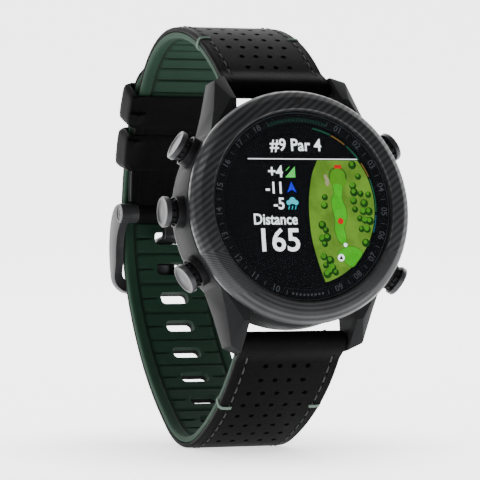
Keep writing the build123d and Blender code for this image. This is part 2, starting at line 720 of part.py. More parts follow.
def buckle_tang():
    """Barrel on the pin and a bent blade: down, out through the slot, and down over the bow."""
    t = TANG_T
    y_slot, _ = LOWER.at(TAIL_HOLE)
    low = y_slot - BUCKLE_Y - SLOT_L / 2 + TANG_REST
    out = BOW_OUT
    blade = [below_pin(*p) for p in (
        (-1.0, -1.2), (1.2, -1.0), (1.2, low + t + 0.3), (1.5, low + t), (out - 1.6, low + t),
        (out, low + t - 0.9), (out, -BOW_DROP - 0.3), (out - t + 0.2, -BOW_DROP - 0.3),
        (out - t + 0.2, low), (-0.2, low), (-1.0, low + 0.8))]
    body = slab(blade, -TANG_W / 2, TANG_W / 2)
    body = body + rod(BUCKLE_Y, BUCKLE_Z, BARREL_R, -TANG_W / 2, TANG_W / 2)
    return body - rod(BUCKLE_Y, BUCKLE_Z, BUCKLE_PIN_R + RUN, -TANG_W, TANG_W)


# ---- all pieces ----
def pieces():
    made = {
        "lens": lens(), "lens_gasket": lens_gasket(), "hour_ring": hour_ring(),
        "display_panel": display_panel(), "display_tray": display_tray(),
        "bezel": bezel(), "bezel_marker": bezel_marker(), "case_middle": case_middle(),
        "back_cover": back_cover(), "back_gasket": back_gasket(), "back_screws": back_screws(),
        "contact_block": contact_block(), "charge_contacts": charge_contacts(),
        "main_board": main_board(), "antenna_ring": antenna_ring(), "inner_chassis": inner_chassis(),
        "battery": battery(), "motor_housing": motor_housing(), "motor_weight": motor_weight(),
        "buzzer": buzzer(), "button_o_rings": button_o_rings(),
        "upper_leather": upper_leather(), "upper_lining": upper_lining(),
        "lower_leather": lower_leather(), "lower_lining": lower_lining(),
        "fixed_keeper": keeper_band(FIXED_KEEPER, SEAT * 3), "loose_keeper": keeper_band(LOOSE_KEEPER, KEEPER_GAP),
        "buckle_pin": buckle_pin(), "buckle_frame": buckle_frame(), "buckle_tang": buckle_tang(),
    }
    for name, angle in BUTTONS.items():
        made[name + "_button"] = button(angle)
        made[name + "_clip"] = button_clip(angle)
        made[name + "_collar"] = button_collar(angle)
        made[name + "_switch"] = side_switch(angle)
    for name, path in (("upper", UPPER), ("lower", LOWER)):
        made[name + "_lug_pin"] = lug_pin(path)
        made[name + "_pin_latch"] = lug_pin_latch(path)
    return made


def stand(made):
    """Lean the watch back, then put the middle of its base at the origin."""
    lean = Rot(90 - LEAN, 0, 0)
    box = Compound([lean * shape for shape in made.values()]).bounding_box()
    return Pos(-box.center().X, -box.center().Y, -box.min.Z) * lean


MADE = pieces()
STANCE = stand(MADE)

os.makedirs("parts", exist_ok=True)
for node, shape in MADE.items():
    export_step(STANCE * shape, f"parts/{node}.step")
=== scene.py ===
import json
import math

import bmesh
import bpy
import numpy as np
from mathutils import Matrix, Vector

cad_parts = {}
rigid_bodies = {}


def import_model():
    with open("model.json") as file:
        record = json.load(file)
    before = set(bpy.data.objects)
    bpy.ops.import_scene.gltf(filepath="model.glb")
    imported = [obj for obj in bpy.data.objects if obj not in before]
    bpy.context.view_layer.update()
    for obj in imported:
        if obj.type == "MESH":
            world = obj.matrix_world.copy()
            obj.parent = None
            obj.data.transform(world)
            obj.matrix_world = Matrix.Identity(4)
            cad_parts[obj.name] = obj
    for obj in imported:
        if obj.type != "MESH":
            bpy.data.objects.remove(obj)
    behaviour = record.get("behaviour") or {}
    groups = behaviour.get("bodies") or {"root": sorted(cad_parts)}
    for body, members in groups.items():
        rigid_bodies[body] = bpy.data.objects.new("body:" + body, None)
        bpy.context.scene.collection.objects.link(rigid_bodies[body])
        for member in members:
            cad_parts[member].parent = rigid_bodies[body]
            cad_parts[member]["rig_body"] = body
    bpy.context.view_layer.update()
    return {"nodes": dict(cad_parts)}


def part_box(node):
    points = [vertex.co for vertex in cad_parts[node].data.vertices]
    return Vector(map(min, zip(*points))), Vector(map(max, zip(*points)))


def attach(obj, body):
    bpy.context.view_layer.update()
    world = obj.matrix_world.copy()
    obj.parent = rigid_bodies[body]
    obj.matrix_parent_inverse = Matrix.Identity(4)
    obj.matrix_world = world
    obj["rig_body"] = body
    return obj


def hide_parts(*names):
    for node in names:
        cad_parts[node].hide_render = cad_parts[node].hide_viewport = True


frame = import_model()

MM = 0.001
LEAN = math.radians(9.5)

# ---------------------------------------------------------------- places
lens_low, lens_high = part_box("lens")
RIGHT = Vector((1, 0, 0))
UP = Vector((0, math.sin(LEAN), math.cos(LEAN)))
OUT = Vector((0, -math.cos(LEAN), math.sin(LEAN)))
LENS_MIDDLE = 0.1
DIAL = (lens_low + lens_high) / 2 - OUT * LENS_MIDDLE * MM


def place(x, y, z):
    """Row-frame point of dial coordinates in millimetres."""
    return DIAL + (RIGHT * x + UP * y + OUT * z) * MM


# ---------------------------------------------------------------- mesh helpers
def finish_mesh(bm, name, material, body="watch", replaces=(), recalc=True, smooth=True):
    if recalc:
        bmesh.ops.recalc_face_normals(bm, faces=bm.faces)
    mesh = bpy.data.meshes.new(name)
    bm.to_mesh(mesh)
    bm.free()
    mesh.materials.append(material)
    obj = bpy.data.objects.new(name, mesh)
    bpy.context.scene.collection.objects.link(obj)
    for p in mesh.polygons:
        p.use_smooth = smooth
    if smooth:
        mesh.set_sharp_from_angle(angle=math.radians(38))
    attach(obj, body)
    if replaces:
        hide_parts(*replaces)
    return obj


def lathe(bm, profile, to_row, steps=96, closed=True):
    """Turn (radius, height) points about the dial axis of the given placing function."""
    rings = []
    for k in range(steps):
        a = 2 * math.pi * k / steps
        rings.append([bm.verts.new(to_row(r * math.cos(a), r * math.sin(a), z)) for r, z in profile])
    count = len(profile)
    last = count if closed else count - 1
    for k in range(steps):
        a, b = rings[k], rings[(k + 1) % steps]
        for i in range(last):
            j = (i + 1) % count
            bm.faces.new((a[i], b[i], b[j], a[j]))


def rounded(points, radius=0.2, steps=4):
    """Round every corner of a closed 2-D outline."""
    out = []
    n = len(points)
    for i in range(n):
        p, q, r = Vector(points[i - 1]), Vector(points[i]), Vector(points[(i + 1) % n])
        u, v = (p - q), (r - q)
        cut = min(radius, u.length * 0.45, v.length * 0.45)
        a, b = q + u.normalized() * cut, q + v.normalized() * cut
        for k in range(steps + 1):
            t = k / steps
            out.append(tuple((a * (1 - t) ** 2) + q * 2 * t * (1 - t) + b * t * t))
    return out


def soft_copy(node, name, material, width=0.15, angle=32, segments=2):
    """The node's own shape with its sharp edges rounded; it stands for the node."""
    source = frame["nodes"][node]
    bm = bmesh.new()
    bm.from_mesh(source.data)
    bmesh.ops.remove_doubles(bm, verts=bm.verts, dist=0.004 * MM)
    bmesh.ops.dissolve_limit(bm, angle_limit=math.radians(0.6), verts=bm.verts, edges=bm.edges)
    sharp = [e for e in bm.edges if len(e.link_faces) == 2 and e.calc_face_angle() > math.radians(angle)]
    bmesh.ops.bevel(bm, geom=sharp, offset=width * MM, segments=segments, profile=0.5,
                    affect="EDGES", clamp_overlap=True, material=-1)
    bmesh.ops.triangulate(bm, faces=[f for f in bm.faces if len(f.verts) > 4])
    return finish_mesh(bm, name, material, source["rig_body"], (node,), recalc=False)


# ---------------------------------------------------------------- shader helpers
class Socket:
    """A value in a shader, with ordinary arithmetic."""

    def __init__(self, tree, link):
        self.tree, self.link = tree, link

    def _math(self, op, a, b=None, clamp=False):
        node = self.tree.nodes.new("ShaderNodeMath")
        node.operation, node.use_clamp = op, clamp
        for k, v in enumerate((a, b)):
            if v is None:
                continue
            if isinstance(v, Socket):
                self.tree.links.new(v.link, node.inputs[k])
            else:
                node.inputs[k].default_value = v
        return Socket(self.tree, node.outputs[0])

    def __add__(self, o): return self._math("ADD", self, o)
    def __radd__(self, o): return self._math("ADD", o, self)
    def __sub__(self, o): return self._math("SUBTRACT", self, o)
    def __rsub__(self, o): return self._math("SUBTRACT", o, self)
    def __mul__(self, o): return self._math("MULTIPLY", self, o)
    def __rmul__(self, o): return self._math("MULTIPLY", o, self)
    def __truediv__(self, o): return self._math("DIVIDE", self, o)
    def __rtruediv__(self, o): return self._math("DIVIDE", o, self)
    def __pow__(self, o): return self._math("POWER", self, o)
    def sin(self): return self._math("SINE", self)
    def sqrt(self): return self._math("SQRT", self)
    def abs(self): return self._math("ABSOLUTE", self)
    def clamp(self): return self._math("ADD", self, 0.0, True)
    def low(self, o): return self._math("MINIMUM", self, o)
    def high(self, o): return self._math("MAXIMUM", self, o)
    def fract(self): return self._math("FRACT", self)

    def smooth(self, a, b):
        """0 below a, 1 above b."""
        t = ((self - a) / (b - a)).clamp()
        return t * t * (3.0 - 2.0 * t)


class Shade:
    """One material: a Principled shader and the nodes feeding it."""

    def __init__(self, name):
        self.mat = bpy.data.materials.new(name)
        self.mat.use_nodes = True
        self.tree = self.mat.node_tree
        self.out = next(n for n in self.tree.nodes if n.type == "OUTPUT_MATERIAL")
        self.bsdf = next(n for n in self.tree.nodes if n.type == "BSDF_PRINCIPLED")

    def node(self, kind, settings=None, inputs=None):
        n = self.tree.nodes.new(kind)
        for k, v in (settings or {}).items():
            setattr(n, k, v)
        for k, v in (inputs or {}).items():
            self.put(n.inputs[k], v)
        return n

    def put(self, socket, v):
        if isinstance(v, Socket):
            self.tree.links.new(v.link, socket)
        elif hasattr(v, "is_output"):
            self.tree.links.new(v, socket)
        else:
            socket.default_value = v

    def set(self, **values):
        for k, v in values.items():
            self.put(self.bsdf.inputs[k.replace("_", " ")], v)
        return self

    def coords(self):
        return self.node("ShaderNodeTexCoord").outputs["Object"]

    def mapped(self, scale=(1, 1, 1), rotation=(0, 0, 0), location=(0, 0, 0)):
        return self.node("ShaderNodeMapping", None, {
            "Vector": self.coords(), "Scale": scale, "Rotation": rotation, "Location": location}).outputs[0]

    def axes(self, vector=None):
        n = self.node("ShaderNodeSeparateXYZ", None, {0: vector or self.coords()})
        return [Socket(self.tree, o) for o in n.outputs]

    def noise(self, scale, detail=4.0, rough=0.55, vector=None, distortion=0.0):
        n = self.node("ShaderNodeTexNoise", None, {
            "Vector": vector or self.coords(), "Scale": scale, "Detail": detail, "Roughness": rough,
            "Distortion": distortion})
        return Socket(self.tree, n.outputs[0])

    def voronoi(self, scale, vector=None, feature="F1", randomness=1.0):
        n = self.node("ShaderNodeTexVoronoi", {"feature": feature}, {
            "Vector": vector or self.coords(), "Scale": scale, "Randomness": randomness})
        return Socket(self.tree, n.outputs["Distance"])

    def attribute(self, name):
        return Socket(self.tree, self.node("ShaderNodeAttribute", {"attribute_name": name}).outputs["Fac"])

    def mix(self, a, b, factor):
        n = self.node("ShaderNodeMix", {"data_type": "RGBA"})
        self.put(n.inputs["Factor"], factor)
        self.put(n.inputs[6], a if not isinstance(a, tuple) else (*a, 1))
        self.put(n.inputs[7], b if not isinstance(b, tuple) else (*b, 1))
        return n.outputs[2]

    def bump(self, height, distance, strength=1.0, normal=None):
        n = self.node("ShaderNodeBump", None, {"Strength": strength, "Distance": distance})
        self.put(n.inputs["Height"], height)
        if normal:
            self.put(n.inputs["Normal"], normal)
        return n.outputs[0]

    def dial_axes(self):
        """Distances from the dial centre: across, up and out, in metres."""
        v = self.node("ShaderNodeVectorMath", {"operation": "SUBTRACT"},
                      {0: self.coords(), 1: DIAL}).outputs[0]
        found = []
        for d in (RIGHT, UP, OUT):
            n = self.node("ShaderNodeVectorMath", {"operation": "DOT_PRODUCT"}, {0: v, 1: d})
            found.append(Socket(self.tree, n.outputs["Value"]))
        return found


def smudged(s, base, spread=0.08, scale=160):
    """A roughness that varies gently, like handled metal or plastic."""
    return base - spread / 2 + s.noise(scale, 3) * spread


def carbon():
    s = Shade("carbon_bezel")
    x, y, _ = s.dial_axes()
    warp = s.noise(60, 3, 0.6) - 0.5
    radius = (x * x + y * y).sqrt()
    low = ((0.0 - y - 0.009) / 0.008).clamp()
    line = y * 0.80 - x * 0.60 + warp * 0.0010
    bands = ((line * (1.0 - low) + radius * 1.3 * low) * 5600).sin() * 0.5 + 0.5
    broad = s.noise(120, 3, 0.6, s.mapped((1.0, 1.0, 0.35), (0, math.radians(-37), 0)))
    fine = s.noise(1300, 3, 0.7)
    tone = (bands * 0.42 + broad * 0.38 + fine * 0.20).smooth(0.2, 0.85)
    s.set(Base_Color=s.mix((0.008, 0.008, 0.009), (0.038, 0.0385, 0.041), tone), Metallic=0.4,
          Roughness=0.46 - tone * 0.12, Normal=s.bump(tone, 0.00002, 0.3))
    s.bsdf.inputs["Specular IOR Level"].default_value = 0.35
    return s.mat


def satin(name, dark, light, rough=0.38, metallic=0.9, grain=1600, shine=0.5):
    s = Shade(name)
    tone = s.noise(60, 3) * 0.6 + s.noise(grain, 2) * 0.4
    s.set(Base_Color=s.mix(dark, light, tone.clamp()), Metallic=metallic, Roughness=smudged(s, rough, 0.12),
          Normal=s.bump(s.noise(grain, 3), 0.000006, 0.5))
    s.bsdf.inputs["Specular IOR Level"].default_value = shine
    return s.mat


def brushed(name, dark, light, rough=0.26, stretch=(40, 2500, 2500), metallic=1.0, shine=0.5):
    s = Shade(name)
    lines = s.noise(1.0, 3, 0.6, s.mapped(stretch))
    s.set(Base_Color=s.mix(dark, light, lines), Metallic=metallic, Roughness=rough - 0.06 + lines * 0.14,
          Normal=s.bump(lines, 0.000004, 0.6))
    s.bsdf.inputs["Specular IOR Level"].default_value = shine
    return s.mat


def leather():
    s = Shade("black_leather")
    cells = s.voronoi(1900, feature="F1")
    fine = s.noise(2600, 4, 0.6)
    folds = s.noise(140, 4, 0.6)
    worn = s.attribute("edge")
    hole = s.attribute("hole")
    height = cells * 0.6 + fine * 0.4 + folds * 0.8
    base = s.mix((0.0012, 0.0012, 0.0013), (0.0036, 0.0036, 0.0038), (folds * 0.7 + cells * 0.5).clamp())
    base = s.mix(base, (0.012, 0.012, 0.012), (worn * 0.45).clamp())
    # painted shade: the inside of each punched hole is darkened towards black
    base = s.mix(base, (0.0015, 0.0015, 0.0015), hole)
    s.set(Base_Color=base, Roughness=0.50 + fine * 0.16 - folds * 0.08, Normal=s.bump(height, 0.00006, 0.6))
    s.bsdf.inputs["Specular IOR Level"].default_value = 0.02
    return s.mat


def lining():
    s = Shade("green_lining")
    fine = s.noise(2200, 4, 0.6)
    cloud = s.noise(180, 3)
    edge = s.attribute("edge")
    groove = s.attribute("hole")
    base = s.mix((0.005, 0.017, 0.010), (0.010, 0.030, 0.018), (cloud * 0.6 + fine * 0.4).clamp())
    base = s.mix(base, (0.018, 0.040, 0.026), (edge * (0.6 + fine * 0.5)).clamp())
    # painted shade: the lining's cross grooves and border creases are darkened
    base = s.mix(base, (0.002, 0.005, 0.003), (groove * 0.8).clamp())
    s.set(Base_Color=base, Roughness=0.62 + fine * 0.2, Normal=s.bump(fine + cloud, 0.00004, 0.6))
    s.bsdf.inputs["Specular IOR Level"].default_value = 0.1
    return s.mat


def thread(name, dark, light):
    s = Shade(name)
    twist = s.noise(3800, 2)
    s.set(Base_Color=s.mix(dark, light, twist), Roughness=0.7 + twist * 0.15,
          Normal=s.bump(twist, 0.00003, 0.8))
    return s.mat


def plain(name, dark, light, rough=0.5, metallic=0.0, scale=700, depth=0.00001):
    s = Shade(name)
    n = s.noise(scale, 4, 0.6)
    s.set(Base_Color=s.mix(dark, light, n), Metallic=metallic, Roughness=rough - 0.05 + n * 0.1,
          Normal=s.bump(n, depth, 0.5))
    return s.mat


def concentric(name, dark, light, rough=0.42, metallic=0.0, pitch=9000):
    s = Shade(name)
    x, y, _ = s.dial_axes()
    r = (x * x + y * y).sqrt()
    rings = (r * pitch * 2).sin() * 0.5 + 0.5
    n = s.noise(800, 3)
    s.set(Base_Color=s.mix(dark, light, (rings * 0.5 + n * 0.5).clamp()), Metallic=metallic,
          Roughness=rough + n * 0.08)
    s.bsdf.inputs["Specular IOR Level"].default_value = 0.08
    return s.mat


def lit(name, color, strength, dark=0.9, scale=400):
    """A lit part of the display, with its fine grid of cells; also gives the arc marks on the hour ring a painted glow.
    dark is how deep its own texture goes.
    """
    s = Shade(name)
    x, y, _ = s.dial_axes()
    cell = ((x / 0.00012).fract() - 0.5).abs().high(((y / 0.00012).fract() - 0.5).abs())
    grid = 1.0 - cell.smooth(0.36, 0.5) * 0.25
    glow = grid * (dark + s.noise(scale, 3, 0.6).smooth(0.3, 0.7) * (1.0 - dark))
    unlit_color = tuple(c * 0.05 for c in color)
    s.set(Base_Color=s.mix((0.002, 0.002, 0.002), unlit_color, glow.clamp()), Roughness=0.5)
    s.set(Emission_Color=s.mix((0, 0, 0), color, glow.clamp()), Emission_Strength=strength)
    s.bsdf.inputs["Specular IOR Level"].default_value = 0.1
    return s.mat


def glass(name, alpha):
    s = Shade(name)
    haze = s.noise(90, 3)
    s.set(Base_Color=s.mix((0.004, 0.005, 0.007), (0.01, 0.012, 0.016), haze), Roughness=0.06 + haze * 0.03,
          IOR=1.5)
    clear = s.node("ShaderNodeBsdfTransparent", None, {"Color": (0.93, 0.95, 0.96, 1)})
    mix = s.node("ShaderNodeMixShader", None, {"Fac": alpha})
    s.tree.links.new(clear.outputs[0], mix.inputs[1])
    s.tree.links.new(s.bsdf.outputs[0], mix.inputs[2])
    s.tree.links.new(mix.outputs[0], s.out.inputs["Surface"])
    return s.mat


def board():
    s = Shade("circuit_board")
    cell = s.voronoi(900, feature="DISTANCE_TO_EDGE")
    track = 1.0 - cell.smooth(0.02, 0.09)
    s.set(Base_Color=s.mix((0.004, 0.045, 0.02), (0.02, 0.11, 0.05), track), Roughness=0.35 + track * 0.1,
          Normal=s.bump(track, 0.00002, 0.5))
    return s.mat


def unlit():
    s = Shade("display")
    n = s.noise(500, 2)
    s.set(Base_Color=s.mix((0.0012, 0.0012, 0.0014), (0.002, 0.002, 0.0022), n), Roughness=0.5 + n * 0.1)
    s.bsdf.inputs["Specular IOR Level"].default_value = 0.05
    return s.mat


M = {
    "carbon": carbon(),
    "case": satin("case_metal", (0.008, 0.0081, 0.0086), (0.015, 0.0152, 0.016), 0.52, 0.08, shine=0.03),
    "black_metal": satin("black_metal", (0.005, 0.005, 0.0056), (0.012, 0.012, 0.013), 0.42, 0.15,
                         shine=0.08),
    "bright": brushed("gunmetal", (0.013, 0.013, 0.014), (0.028, 0.028, 0.030), 0.38, (30, 700, 700),
                      metallic=0.25, shine=0.12),
    "steel": satin("dark_steel", (0.035, 0.035, 0.037), (0.06, 0.06, 0.063), 0.32),
    "cover": brushed("cover_metal", (0.018, 0.018, 0.02), (0.036, 0.036, 0.039), 0.4, (900, 30, 900)),
    "leather": leather(),
    "lining": lining(),
    "thread_dark": thread("black_thread", (0.006, 0.006, 0.006), (0.03, 0.03, 0.03)),
    "thread_light": thread("pale_thread", (0.06, 0.10, 0.075), (0.14, 0.20, 0.16)),
    "rubber": plain("rubber_seal", (0.010, 0.010, 0.010), (0.022, 0.022, 0.022), 0.65),
    "plastic": plain("black_plastic", (0.012, 0.012, 0.013), (0.03, 0.03, 0.032), 0.5),
    "foil": plain("battery_foil", (0.45, 0.45, 0.47), (0.65, 0.65, 0.67), 0.3, 1.0, 300, 0.00004),
    "gold": plain("gold_contact", (0.70, 0.48, 0.18), (0.85, 0.63, 0.28), 0.28, 1.0),
    "copper": plain("copper_trace", (0.55, 0.27, 0.15), (0.75, 0.42, 0.25), 0.3, 1.0),
    "board": board(),
    "ring": concentric("dial_ring", (0.0022, 0.0022, 0.0025), (0.004, 0.004, 0.0045), 0.5),
    "screen": unlit(),
    "print": plain("dial_print", (0.055, 0.056, 0.06), (0.085, 0.086, 0.092), 0.6),
    "mark": plain("mark_enamel", (0.004, 0.004, 0.004), (0.010, 0.010, 0.011), 0.3),
    "glass": glass("cover_glass", 0.16),
}

NODE_MATERIAL = {
    "lens": "glass", "lens_gasket": "rubber", "hour_ring": "ring", "display_panel": "screen",
    "display_tray": "plastic", "bezel": "carbon", "bezel_marker": "mark", "case_middle": "case",
    "back_cover": "cover", "back_gasket": "rubber", "back_screws": "steel", "contact_block": "plastic",
    "charge_contacts": "gold", "main_board": "board", "antenna_ring": "copper", "inner_chassis": "plastic",
    "battery": "foil", "motor_housing": "bright", "motor_weight": "steel", "buzzer": "plastic",
    "button_o_rings": "rubber", "upper_leather": "leather", "upper_lining": "lining",
    "lower_leather": "leather", "lower_lining": "lining", "fixed_keeper": "leather",
    "loose_keeper": "leather", "buckle_pin": "steel", "buckle_frame": "bright", "buckle_tang": "steel",
    "upper_lug_pin": "steel", "lower_lug_pin": "steel",
    "upper_pin_latch": "bright", "lower_pin_latch": "bright",
}
PUSHERS = {"upper_left": 150, "middle_left": 180, "lower_left": 210, "upper_right": 30, "lower_right": -32}
for _name in PUSHERS:
    NODE_MATERIAL.update({_name + "_button": "bright", _name + "_clip": "steel",
                          _name + "_collar": "black_metal", _name + "_switch": "plastic"})
for _node, _key in NODE_MATERIAL.items():
    mesh = frame["nodes"][_node].data
    mesh.materials.clear()
    mesh.materials.append(M[_key])

# ---------------------------------------------------------------- bezel and dial
BEZEL_BORE, BEZEL_R, SEAM_Z = 18.85, 23.0, -2.5


def make_bezel():
    bm = bmesh.new()
    crest = [(BEZEL_BORE, -0.6), (BEZEL_BORE, 0.55), (BEZEL_BORE + 0.28, 0.8), (BEZEL_R - 1.7, 0.5),
             (BEZEL_R - 0.45, -0.35), (BEZEL_R, -1.25), (BEZEL_R, SEAM_Z + 0.3), (BEZEL_R - 0.3, SEAM_Z),
             (BEZEL_R - 1.6, SEAM_Z), (BEZEL_R - 1.6, -0.9)]
    lathe(bm, rounded(crest, 0.28, 4), place, 160)
    return finish_mesh(bm, "bezel_shell", M["carbon"], replaces=("bezel",))


def bezel_triangle():
    """Small inlaid triangle at 12 o'clock."""
    bm = bmesh.new()
    corners = [(-0.95, 20.05), (0.95, 20.05), (0.0, 21.6)]
    top = [bm.verts.new(place(x, y, 0.8 - (y - 19.13) * 0.138 + 0.03)) for x, y in corners]
    low = [bm.verts.new(place(x, y, 0.3)) for x, y in corners]
    bm.faces.new(top)
    bm.faces.new(low)
    for k in range(3):
        bm.faces.new((top[k], top[(k + 1) % 3], low[(k + 1) % 3], low[k]))
    return finish_mesh(bm, "bezel_triangle", M["mark"], replaces=("bezel_marker",),
                       smooth=False)


def flat_ring(bm, r0, r1, z, steps=128, start=0.0, sweep=2 * math.pi):
    full = abs(sweep - 2 * math.pi) < 1e-6
    rings = []
    for k in range(steps if full else steps + 1):
        a = start + sweep * k / steps
        rings.append([bm.verts.new(place(r * math.cos(a), r * math.sin(a), z)) for r in (r0, r1)])
    for k in range(steps):
        a, b = rings[k], rings[(k + 1) % len(rings)]
        bm.faces.new((a[0], a[1], b[1], b[0]))


def polygon(bm, points, z):
    bm.faces.new([bm.verts.new(place(x, y, z)) for x, y in points])


def dot(bm, x, y, r, z, steps=20, squeeze=1.0):
    polygon(bm, [(x + r * math.cos(2 * math.pi * k / steps), y + squeeze * r * math.sin(2 * math.pi * k / steps))
                 for k in range(steps)], z)


def smooth_line(points, steps=6, closed=False):
    """Catmull-Rom points through the given ones."""
    out = []
    n = len(points)
    count = n if closed else n - 1
    for i in range(count):
        ids = [(i + k) % n if closed else min(max(i + k, 0), n - 1) for k in (-1, 0, 1, 2)]
        a, b, c, d = (np.array(points[k], float) for k in ids)
        for k in range(steps):
            t = k / steps
            out.append(tuple(0.5 * (2 * b + (c - a) * t + (2 * a - 5 * b + 4 * c - d) * t * t
                                    + (3 * b - a - 3 * c + d) * t ** 3)))
    if not closed:
        out.append(tuple(points[-1]))
    return out


def stroke(bm, points, width, z, closed=False):
    pts = [Vector(p) for p in points]
    pairs = []
    n = len(pts)
    for i, p in enumerate(pts):
        a = pts[i - 1] if (closed or i) else p
        b = pts[(i + 1) % n] if (closed or i < n - 1) else p
        d = (b - a).normalized()
        side = Vector((-d.y, d.x)) * width / 2
        pairs.append([bm.verts.new(place(q.x, q.y, z)) for q in (p + side, p - side)])
    for i in range(n if closed else n - 1):
        a, b = pairs[i], pairs[(i + 1) % n]
        bm.faces.new((a[0], a[1], b[1], b[0]))


def words(bm, text, x, y, size, z, turn=0.0, align="CENTER", squeeze=1.0, bold=0.0):
    """Flat lettering, made a mesh and laid on the dial."""
    curve = bpy.data.curves.new("lettering", "FONT")
    curve.body, curve.align_x, curve.align_y = text, align, "CENTER"
    curve.size, curve.offset, curve.resolution_u = size, bold, 3
    holder = bpy.data.objects.new("lettering", curve)
    bpy.context.scene.collection.objects.link(holder)
    mesh = bpy.data.meshes.new_from_object(holder.evaluated_get(bpy.context.evaluated_depsgraph_get()))
    c, s = math.cos(turn), math.sin(turn)
    first = len(bm.verts)
    bm.from_mesh(mesh)
    bm.verts.ensure_lookup_table()
    for v in bm.verts[first:]:
        px, py = v.co.x * squeeze, v.co.y
        v.co = place(x + px * c - py * s, y + px * s + py * c, z)
    bpy.data.objects.remove(holder)
    bpy.data.curves.remove(curve)
    bpy.data.meshes.remove(mesh)


RING_Z = -0.4
RING_PRINT_Z = RING_Z + 0.015
FACE_Z = -0.66
NUMBER_R = 17.35


def make_ring_print():
    bm = bmesh.new()
    for k in range(9):
        for side, number in ((1, k + 1), (-1, 18 - k)):
            a = math.radians(90 - side * (29.4 + 16 * k))
            words(bm, f"{number:02d}", NUMBER_R * math.cos(a), NUMBER_R * math.sin(a), 1.75, RING_PRINT_Z,
                  a - math.pi / 2 + (math.pi if math.sin(a) < -0.5 else 0), bold=0.02)
    for k in range(10):
        for side in (1, -1):
            a = math.radians(90 - side * (21.4 + 16 * k))
            d, t = Vector((math.cos(a), math.sin(a))), Vector((-math.sin(a), math.cos(a))) * 0.06
            corners = [d * 16.9 - t, d * 17.8 - t, d * 17.8 + t, d * 16.9 + t]
            polygon(bm, [tuple(p) for p in corners], RING_PRINT_Z)
    for k in range(-4, 5):
        a = math.radians(-90 + k * 2.6)
        dot(bm, NUMBER_R * math.cos(a), NUMBER_R * math.sin(a), 0.24, RING_PRINT_Z, 12)
    flat_ring(bm, 18.33, 18.42, RING_PRINT_Z)
    return finish_mesh(bm, "ring_print", M["print"], recalc=False, smooth=False)


# ---------------------------------------------------------------- lit display
L = {
    "white": lit("lit_white", (0.90, 0.92, 0.94), 3.4),
    "rough": lit("lit_rough", (0.20, 0.42, 0.035), 1.5, 0.62, 260),
    "lime": lit("lit_fairway", (0.08, 0.62, 0.012), 1.6, 0.75, 500),
    "shade": lit("lit_border", (0.07, 0.20, 0.02), 1.3, 0.7),
    "putting": lit("lit_green", (0.12, 0.42, 0.015), 1.5, 0.85),
    "sign": lit("lit_sign", (0.12, 0.90, 0.14), 1.7),
    "tree": lit("lit_trees", (0.015, 0.10, 0.006), 1.2, 0.6, 900),
    "leaf": lit("lit_treetops", (0.09, 0.40, 0.015), 1.5, 0.7, 900),
    "sand": lit("lit_sand", (0.50, 0.46, 0.24), 1.4, 0.8),
    "red": lit("lit_red", (0.75, 0.02, 0.01), 1.6),
    "cyan": lit("lit_cyan", (0.04, 0.75, 0.88), 1.7),
    "blue": lit("lit_blue", (0.01, 0.015, 0.85), 1.8),
    "amber": lit("lit_amber", (0.36, 0.20, 0.03), 1.0),
    "teal": lit("lit_teal", (0.015, 0.19, 0.09), 1.0),
    "sky": lit("lit_sky", (0.03, 0.16, 0.24), 1.0),
    # moss is for the arc marks on the hour ring, not the display: a painted glow
    "moss": lit("lit_moss", (0.012, 0.06, 0.035), 1.0),
    "dark": lit("lit_black", (0.004, 0.004, 0.005), 0.4),
}


def layer_of(name, color, draw, lift=0.01):
    """One flat lit layer: draw(bm, z) makes its shapes."""
    bm = bmesh.new()
    draw(bm, FACE_Z + lift)
    return finish_mesh(bm, name, L[color], recalc=False, smooth=False)


LEFT_SIDE = [(3.9, 9.15), (2.7, 6.6), (2.1, 4.3), (1.7, 2.0), (1.5, -0.2), (1.5, -3.2), (1.7, -6.1),
             (2.3, -9.2), (3.1, -12.2), (4.0, -14.9)]
SCREEN_R = 15.45


def right_side():
    """The course runs out to the edge of the lit area on the right."""
    return [(SCREEN_R * math.cos(math.radians(a)), SCREEN_R * math.sin(math.radians(a)))
            for a in range(36, -73, -4)]


LEFT_TREES = [(4.9, 1.9), (4.7, 0.3), (4.0, -3.6), (4.7, -4.6), (3.8, -6.2), (4.9, -6.0), (4.3, -7.3), (3.9, -9.8),
              (5.2, -10.5), (4.2, -11.5), (5.6, -11.9), (4.4, -13.2), (6.2, -12.9), (5.0, -12.6)]
RIGHT_TREES = [(11.2, 8.3), (12.3, 6.0), (11.0, 4.2), (11.2, 2.9), (12.6, 2.6), (11.0, 1.2), (13.2, 0.7),
               (11.2, -0.5), (12.9, -0.9), (14.1, -0.9), (12.1, -2.3), (13.2, -2.6), (14.2, -2.8), (12.3, -4.4),
               (13.5, -4.4), (13.0, -7.1), (14.2, 2.4)]
WIND_ARROW = [(-1.9, 4.9), (-0.9, 2.7), (-1.9, 3.3), (-2.9, 2.7)]
SLOPE_ARROW = [(-2.9, 7.0), (-2.1, 7.8)]


